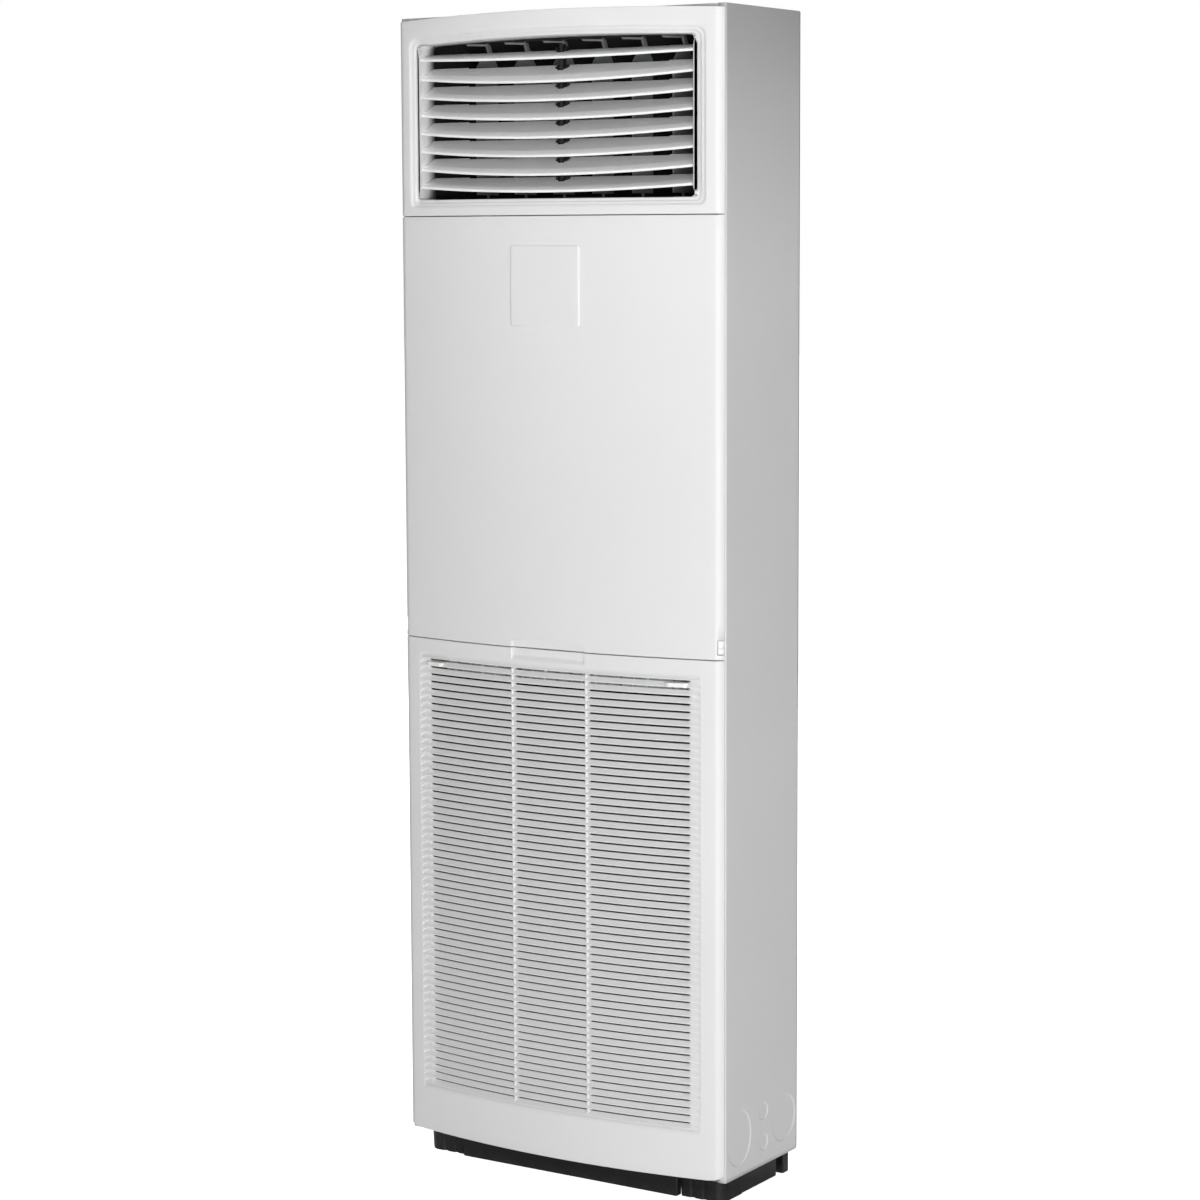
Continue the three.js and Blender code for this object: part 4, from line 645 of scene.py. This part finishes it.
grille_high_edge = np.array([front_points(grille_turns, GRILLE_HIGH - up_by, into + pocket_top * (into < 9))
                             for up_by, into in profile])
grille = surface_piece(
    "grille_skin",
    [(frame_rows, frame_faces[~window]), (grille_low_edge, grid_faces(*grille_low_edge.shape[:2])),
     (grille_high_edge, grid_faces(*grille_high_edge.shape[:2]))],
    front_abs, "grille", crease=50, towards=(0, -1, 0))
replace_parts(thicken(grille, 2.4), "suction_grille")

# %% [markdown]
# ## Suction grille: the slats
# Between two slots stands a slat: a thin nose in the plane of the face, and a slope that runs up and
# back to the next slot. Near its ends the room between two slats narrows on a quarter of an ellipse and
# gets shallower until it is flush with the frame. Each slat is one closed section carried along the
# face, and only the numbers of the section change along the way.

# %% Grille slats
fade_angle = np.linspace(0, np.pi / 2, 12)
fade_x = SLOT_X + (TROUGH_X - SLOT_X) * np.sin(fade_angle)
slat_x = np.concatenate([-fade_x[::-1], np.linspace(-SLOT_X, SLOT_X, 33)[1:-1], fade_x])
open_share = np.where(np.abs(slat_x) <= SLOT_X, 1.0,
                      np.sqrt(np.clip(1 - ((np.abs(slat_x) - SLOT_X) / (TROUGH_X - SLOT_X)) ** 2, 0, 1)))
slot_share = np.clip(1 - (np.abs(slat_x) - SLOT_X) / 4.0, 0, 1)


def slat(number):
    """Closed sections of a slat above slot `number`, from its lower lip over the nose to the next slot."""
    top = SLOT_START + SLOT_HEIGHT + PITCH * number
    foot = top - PITCH + NOSE
    next_foot = top + NOSE
    lip = foot + (top - foot) * open_share if number >= 0 else np.full_like(slat_x, top)
    ledge = next_foot + (PITCH - NOSE - (SLOT_HEIGHT + SLOT_EXTRA) * slot_share) * open_share
    depth = np.maximum(TROUGH * open_share, 0.02)
    if number == SLOTS - 1:
        ledge, depth = np.full_like(slat_x, next_foot), np.full_like(slat_x, SLAB)
    zero = np.zeros_like(slat_x)
    rounding = np.minimum(0.5, 0.25 * (next_foot - lip))
    section = [
        (SLAB + zero, lip), (0.5 + zero, lip), (0.15 + zero, lip + 0.3 * rounding), (zero, lip + rounding),
        (zero, next_foot - 0.5 * rounding), (0.12 * depth, next_foot + 0.10 * (ledge - next_foot)),
        (0.45 * depth, next_foot + 0.43 * (ledge - next_foot)),
        (0.75 * depth, next_foot + 0.75 * (ledge - next_foot)), (depth, ledge), (SLAB + zero, ledge),
    ]
    points = np.array([face_points(slat_x, z, into) for into, z in section])
    return points.transpose(1, 0, 2)


def end_caps(rows, columns):
    """The two n-gons that close a bar made of section rows."""
    return [list(range(columns)), list(range((rows - 1) * columns, rows * columns))]


def bar_piece(name, bars, material, body, crease):
    """One mesh of closed bars: each is an array of section rows in mm."""
    vertices = np.concatenate([bar.reshape(-1, 3) for bar in bars]) / 1000
    faces, start = [], 0
    for bar in bars:
        rows_count, columns = bar.shape[:2]
        faces += (grid_faces(rows_count, columns, close_columns=True) + start).tolist()
        faces += [[i + start for i in cap] for cap in end_caps(rows_count, columns)]
        start += rows_count * columns
    mesh = bpy.data.meshes.new(name)
    mesh.from_pydata(vertices.tolist(), [], faces)
    work = bmesh.new()
    work.from_mesh(mesh)
    bmesh.ops.recalc_face_normals(work, faces=work.faces)
    work.to_mesh(mesh)
    work.free()
    return placed_piece(mesh, material, body, crease)


def upright_rib(x_middle):
    """A rib behind the slats, just deep enough to show as a bead in each slot."""
    x = x_middle + np.array([-1.9, -1.5, -0.8, 0.8, 1.5, 1.9, 1.9, -1.9])
    into = np.array([3.2, 2.5, 2.1, 2.1, 2.5, 3.2, 13.0, 13.0])
    return np.array([face_points(x, z, into) for z in (WINDOW_LOW + 3, WINDOW_HIGH - 3)])


slat_bars = [slat(i) for i in range(-1, SLOTS)] + [upright_rib(-RIB_X), upright_rib(RIB_X)]
bar_piece("grille_slats", slat_bars, front_abs, "grille", 40)

# %% [markdown]
# ## Thumb tabs of the latches
# A tab lies in the top trough on each side and slides to free the grille. It is a drop in plan: its
# height grows from a point with the square root of the way along, so it looks soft like the real one.

# %% Thumb tabs
TAB_START, TAB_END, TAB_Z = 209.0, 243.5, 821.9
tab_way = np.array([0.0, 0.02, 0.06, 0.12, 0.2, 0.3, 0.45, 0.6, 0.75, 0.88, 0.95, 0.985, 1.0])
tab_rise = np.minimum(np.sqrt(tab_way / 0.42), 1)
tab_height = 3.7 * tab_rise * np.sqrt(np.clip((1.012 - tab_way) / 0.06, 0.05, 1))
around = np.linspace(0, 2 * np.pi, 21)[:-1]
for side, side_name in ((-1, "left"), (1, "right")):
    across = side * (TAB_START + (TAB_END - TAB_START) * tab_way)
    into = 3.1 - 3.0 * np.cos(around)[None, :] * np.minimum(tab_height[:, None] / 3.0, 1)
    tab = face_points(across[:, None], TAB_Z + np.maximum(tab_height, 0.2)[:, None] * np.sin(around), into)
    bar_piece(f"{side_name}_thumb_tab", [tab], white_acetal, f"latch_{side_name}", 50)

# %% [markdown]
# ## Louvre blades
# Eight blades turn on pins in the walls of the outlet. Their front edges follow the bow of the face a
# little behind it and end in a thick nose, so the same section is carried across while its front moves.
# A notch at the rear of the middle leaves room for the link that ties all eight together.

# %% Louvre blades
PIVOT_Y, TOP_PIVOT_Z, BLADE_PITCH = FRONT + 41, 1785.1, 28.3
TILTS = [12.5, 24.5, 24.5, 24.5, 24.5, 24.5, 24.5, 20.5]
THICK, NOSE_HEIGHT, NOSE_WIDTH = 2.6, 4.0, 3.0
LINK_ARM, LINK_TILT = 16.0, np.radians(24.5)


def blade_parts(number):
    """Bars of one blade: the plate with its two pivot pins, and the two lugs at the notch."""
    tilt = np.radians(TILTS[number])
    pivot_z = TOP_PIVOT_Z - BLADE_PITCH * number

    def placed(x, along, height):
        x, along, height = np.broadcast_arrays(np.asarray(x, float), along, height)
        return np.stack([x, PIVOT_Y + along * np.cos(tilt) - height * np.sin(tilt),
                         pivot_z + along * np.sin(tilt) + height * np.cos(tilt)], -1)

    tips = np.array([-254.8, -254.7, -254.4, -253.9, -253.2])
    x = np.concatenate([tips, np.linspace(-248, -188, 8), [-187.0, -186.9], np.linspace(-176, -8, 16),
                        [-7.1, -7.0]])
    x = np.concatenate([x, -x[::-1]])
    inset = 1.4 * (1 - np.sqrt(np.clip(1 - ((np.abs(x) - 253.2) / 1.6).clip(0, 1) ** 2, 0, 1)))
    edge = (face_y(x) + 8.0 - PIVOT_Y) / np.cos(tilt) + inset
    rear_y = np.where(np.abs(x) > 7.05, 24.0, 5.0 * np.cos(tilt))
    rear = np.where(np.abs(x) > 186.95, 27.5, rear_y) / np.cos(tilt)
    top, low = THICK / 2, THICK / 2 - NOSE_HEIGHT
    zero = np.zeros_like(x)
    section = [
        (rear, top - 0.5 + zero), (rear - 0.5, top + zero), (edge + 6.0, top + zero),
        (edge + 1.6, top + 0.05 + zero), (edge + 0.5, top - 0.35 + zero), (edge, top - 1.1 + zero),
        (edge, low + 1.0 + zero), (edge + 0.4, low + 0.2 + zero), (edge + 1.3, low + zero),
        (edge + NOSE_WIDTH, low + zero), (edge + NOSE_WIDTH + 0.6, -top + zero), (rear - 0.5, -top + zero),
        (rear, -top + 0.5 + zero),
    ]
    plate_bar = np.array([placed(x, a, h) for a, h in section]).transpose(1, 0, 2)
    pin_y = LINK_ARM * np.cos(LINK_TILT - tilt)
    pin_z = LINK_ARM * np.sin(LINK_TILT - tilt)
    turn = np.linspace(0, 2 * np.pi, 17)[:-1]
    ears, pins = [], []
    for side in (-1, 1):
        ear_a = pin_y + np.array([-6, 5, 5, 3, -4, -6.0])
        ear_h = np.array([min(-1.0, pin_z - 4.5)] * 2 + [pin_z + 2.5, pin_z + 4.5, pin_z + 4.5, pin_z + 2.5])
        ears.append(np.array([placed(side * wide, ear_a, ear_h) for wide in (7.0, 10.0)]))
        pins.append(np.array([placed(side * wide, 2.2 * np.cos(turn), 2.2 * np.sin(turn))
                              for wide in (248.0, 259.0)]))
    return [plate_bar, *pins], ears


for number in range(8):
    plate_bars, lug_bars = blade_parts(number)
    body = f"louvre_{number + 1}"
    blade = bar_piece(f"blade_{number + 1}_body", plate_bars, blade_abs, body, 40)
    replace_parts(blade, f"louvre_blade_{number + 1}")
    bar_piece(f"blade_{number + 1}_lugs", lug_bars, black_nylon, body, 40)

# %% [markdown]
# ## Base
# The cabinet stands on a low welded base. Each front foot is folded from one strip with its outer
# corner cut off and two upright grooves pressed in for stiffness. Every member is an upright prism:
# its plan is repeated at a few heights and drawn in at the lowest one, which leaves a soft lower edge.

# %% Base
BASE_X, BASE_HEIGHT, FOOT_X = 286.0, 40.0, 205.0
RAIL_Y, FOOT_Y, BASE_REAR = SEAM + 9, SEAM + 20, BACK - 2


def prism(plan, low, high, flare=0.0):
    """A closed upright bar from a plan; its lowest rows are drawn in towards the middle."""
    plan = np.array(plan, float)
    centre = plan.mean(axis=0)
    reach = np.abs(plan - centre).max()
    levels = [(low, 1.0 + flare), (low + 0.5, 0.35 + flare), (low + 1.4, flare), (high, 0.0)]
    return np.array([np.column_stack([centre + (plan - centre) * (1 - inset / reach),
                                      np.full(len(plan), z)]) for z, inset in levels])


def block(x0, x1, y0, y1, low, high, bend=1.5):
    """An upright prism over a rectangle whose corners are cut by bend."""
    plan = [(x0 + bend, y0), (x1 - bend, y0), (x1, y0 + bend), (x1, y1 - bend),
            (x1 - bend, y1), (x0 + bend, y1), (x0, y1 - bend), (x0, y0 + bend)]
    return prism(plan, low, high)


base_bars = [block(-FOOT_X - 1, FOOT_X + 1, RAIL_Y, RAIL_Y + 14, 2.0, BASE_HEIGHT),
             block(-BASE_X, BASE_X, FOOT_Y + 5, BASE_REAR, BASE_HEIGHT - 3, BASE_HEIGHT),
             block(-BASE_X + 20, BASE_X - 20, BASE_REAR - 10, BASE_REAR, 6.0, BASE_HEIGHT)]
for side in (-1, 1):
    foot = [(FOOT_X, FOOT_Y), (222, FOOT_Y), (224, FOOT_Y + 2.5), (229, FOOT_Y + 2.5), (231, FOOT_Y),
            (245, FOOT_Y), (247, FOOT_Y + 2.5), (252, FOOT_Y + 2.5), (254, FOOT_Y), (269, FOOT_Y),
            (277, FOOT_Y + 4), (284, FOOT_Y + 12), (BASE_X, FOOT_Y + 20), (BASE_X, FOOT_Y + 62),
            (FOOT_X, FOOT_Y + 62)]
    mirror = [(side * x, y) for x, y in foot]
    base_bars += [prism(mirror if side > 0 else mirror[::-1], 0.0, BASE_HEIGHT, 3.0)]
    inner, outer_x = sorted((side * (BASE_X - 12), side * BASE_X))
    base_bars += [block(inner, outer_x, FOOT_Y + 50, BACK - 42, 3.0, BASE_HEIGHT)]
    inner, outer_x = sorted((side * (BASE_X - 42), side * BASE_X))
    base_bars += [block(inner, outer_x, BASE_REAR - 18, BASE_REAR, 0.0, BASE_HEIGHT)]
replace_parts(bar_piece("base_members", base_bars, black_coat, "cabinet", 35), "base_frame")

# %% [markdown]
# ## Side panels
# Each side is one sheet, folded at the front and the back, with four knock-outs for pipes and cables
# pressed in near the floor. The sheet is a fine grid there. Its depth is a smooth step of the distance
# to the outline of each knock-out, which gives the rounded wall that catches the light.

# %% Side panels
PANEL_DEPTH = BACK - SEAM
knock_outs = [(0.183, 103.0, 0.167, 46.0), (0.524, 127.5, 0.063, 14.3), (0.524, 77.5, 0.063, 14.3),
              (0.804, 102.0, 0.169, 38.4)]
PRESS = 1.5


def press_depth(y, z):
    """A smooth step 1.5 mm deep and about 1.6 mm wide at the outline of each knock-out."""
    depth = np.zeros_like(y)
    for place, height, across, upright in knock_outs:
        ry, rz = across * PANEL_DEPTH, upright
        radius = np.hypot((y - SEAM - place * PANEL_DEPTH) / ry, (z - height) / rz)
        distance = (1 - radius) * min(ry, rz)
        step = np.clip(distance / 1.6, 0, 1)
        depth = np.maximum(depth, PRESS * step * step * (3 - 2 * step))
    return depth


FOLD = 3.0
fold_turn = np.radians(np.linspace(90, 0, 8))
for side, side_name in ((-1, "left"), (1, "right")):
    rear_y = BACK - 1.5
    flat_y = np.linspace(SEAM + FOLD, rear_y - 1.5, 250)
    fold_y = SEAM + FOLD - FOLD * np.sin(fold_turn)
    fold_x = HALF_WIDTH - FOLD + FOLD * np.cos(fold_turn)
    section_y = np.concatenate([[SEAM, SEAM], fold_y, flat_y[1:], [rear_y - 0.5, rear_y, rear_y]])
    section_x = np.concatenate([[286, 292], fold_x, np.full(len(flat_y) - 1, HALF_WIDTH),
                                [299.6, 298.5, 286]])
    z = np.concatenate([[40.0, 48.0], np.arange(54.0, 152.0, 0.85), [156.0, 400.0, 900.0, 1400.0, 1850.0]])
    y_grid, panel_z = np.meshgrid(section_y, z)
    x_flat = np.broadcast_to(section_x, y_grid.shape)
    dent = np.where(x_flat >= 299.99, press_depth(y_grid, panel_z), 0)
    panel_rows = np.stack([side * (x_flat - dent), y_grid, panel_z], -1)
    panel = surface_piece(f"{side_name}_side_sheet", [(panel_rows, grid_faces(*panel_rows.shape[:2]))],
                          powder_paint, "cabinet", crease=50, towards=(side, 0, 0))
    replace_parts(thicken(panel, 1.2), f"{side_name}_side_panel")

# %% [markdown]
# ## Room and light
# The floor is pale and plain. In the picture the room is pure white, so the camera sees white there,
# while the floor still keeps the shadow. A large soft light stands to the right of the camera and a
# weaker one to the left, which shades the bow of the front from the left edge to the right. A spot from
# above reaches down between the louvre blades, and a lamp behind shows the back when the view goes round.

# %% Floor, world and lamps
floor_mesh = bpy.data.meshes.new("floor")
floor_mesh.from_pydata([(-30, -30, 0), (30, -30, 0), (30, 30, 0), (-30, 30, 0)], [], [(0, 1, 2, 3)])
floor = bpy.data.objects.new("floor", floor_mesh)
bpy.context.scene.collection.objects.link(floor)

FLOOR_GLOW = 0.93                       # seen by the camera only, so the shadow stays
floor_paint = bpy.data.materials.new("floor_painted_pale")
floor_paint.use_nodes = True
floor_paint.node_tree.nodes.clear()
matt = add_node(floor_paint, "ShaderNodeBsdfDiffuse", Color=linear("#eaeaea"))
path = add_node(floor_paint, "ShaderNodeLightPath")
glow = add_node(floor_paint, "ShaderNodeEmission", Color=(1, 1, 1, 1))
dim = add_node(floor_paint, "ShaderNodeMath", [(0, path.outputs["Is Camera Ray"])], operation="MULTIPLY")
dim.inputs[1].default_value = FLOOR_GLOW
floor_paint.node_tree.links.new(glow.inputs["Strength"], dim.outputs["Value"])
both = add_node(floor_paint, "ShaderNodeAddShader",
                [(0, matt.outputs["BSDF"]), (1, glow.outputs["Emission"])])
add_node(floor_paint, "ShaderNodeOutputMaterial", [("Surface", both.outputs["Shader"])])
floor_mesh.materials.append(floor_paint)

world = bpy.data.worlds.new("studio")
bpy.context.scene.world = world
world.use_nodes = True
world.node_tree.nodes.clear()
sky = add_node(world, "ShaderNodeBackground", Color=linear("#ffffff"), Strength=0.235)
white = add_node(world, "ShaderNodeBackground", Color=(1, 1, 1, 1), Strength=1.0)
sight = add_node(world, "ShaderNodeLightPath")
either = add_node(world, "ShaderNodeMath", operation="MAXIMUM",
                  links=[(0, sight.outputs["Is Camera Ray"]), (1, sight.outputs["Is Transmission Ray"])])
choose = add_node(world, "ShaderNodeMixShader", [
    (0, either.outputs["Value"]), (1, sky.outputs["Background"]), (2, white.outputs["Background"])])
add_node(world, "ShaderNodeOutputWorld", [("Surface", choose.outputs["Shader"])])


def aimed(place, aim):
    """Matrix of a lamp at a place that faces a point."""
    turn = (Vector(aim) - Vector(place)).to_track_quat("-Z", "Y")
    return Matrix.Translation(place) @ turn.to_matrix().to_4x4()


def soft_light(name, place, aim, size, power):
    """A square lamp of a given size in metres that faces a point."""
    lamp = bpy.data.lights.new(name, "AREA")
    lamp.size = size
    lamp.energy = power
    holder = bpy.data.objects.new(name, lamp)
    holder.matrix_world = aimed(place, aim)
    bpy.context.scene.collection.objects.link(holder)


soft_light("key", (3.39, -4.04, 0.7), (0, 0, 0.9), 1.9, 224)
soft_light("fill", (-3.6, -4.6, 1.2), (0, 0, 0.9), 3.0, 12)
soft_light("back", (-2.6, 4.4, 2.2), (0, 0, 0.9), 2.4, 170)

spot_data = bpy.data.lights.new("outlet_spot", "SPOT")
spot_data.energy = 42
spot_data.spot_size = np.radians(30)
spot_data.spot_blend = 1.0
spot_data.shadow_soft_size = 0.35
spot = bpy.data.objects.new("outlet_spot", spot_data)
spot.matrix_world = aimed((0.75, -1.15, 3.0), (0.0, -0.1, 1.74))
bpy.context.scene.collection.objects.link(spot)

bpy.context.scene.view_settings.view_transform = "Standard"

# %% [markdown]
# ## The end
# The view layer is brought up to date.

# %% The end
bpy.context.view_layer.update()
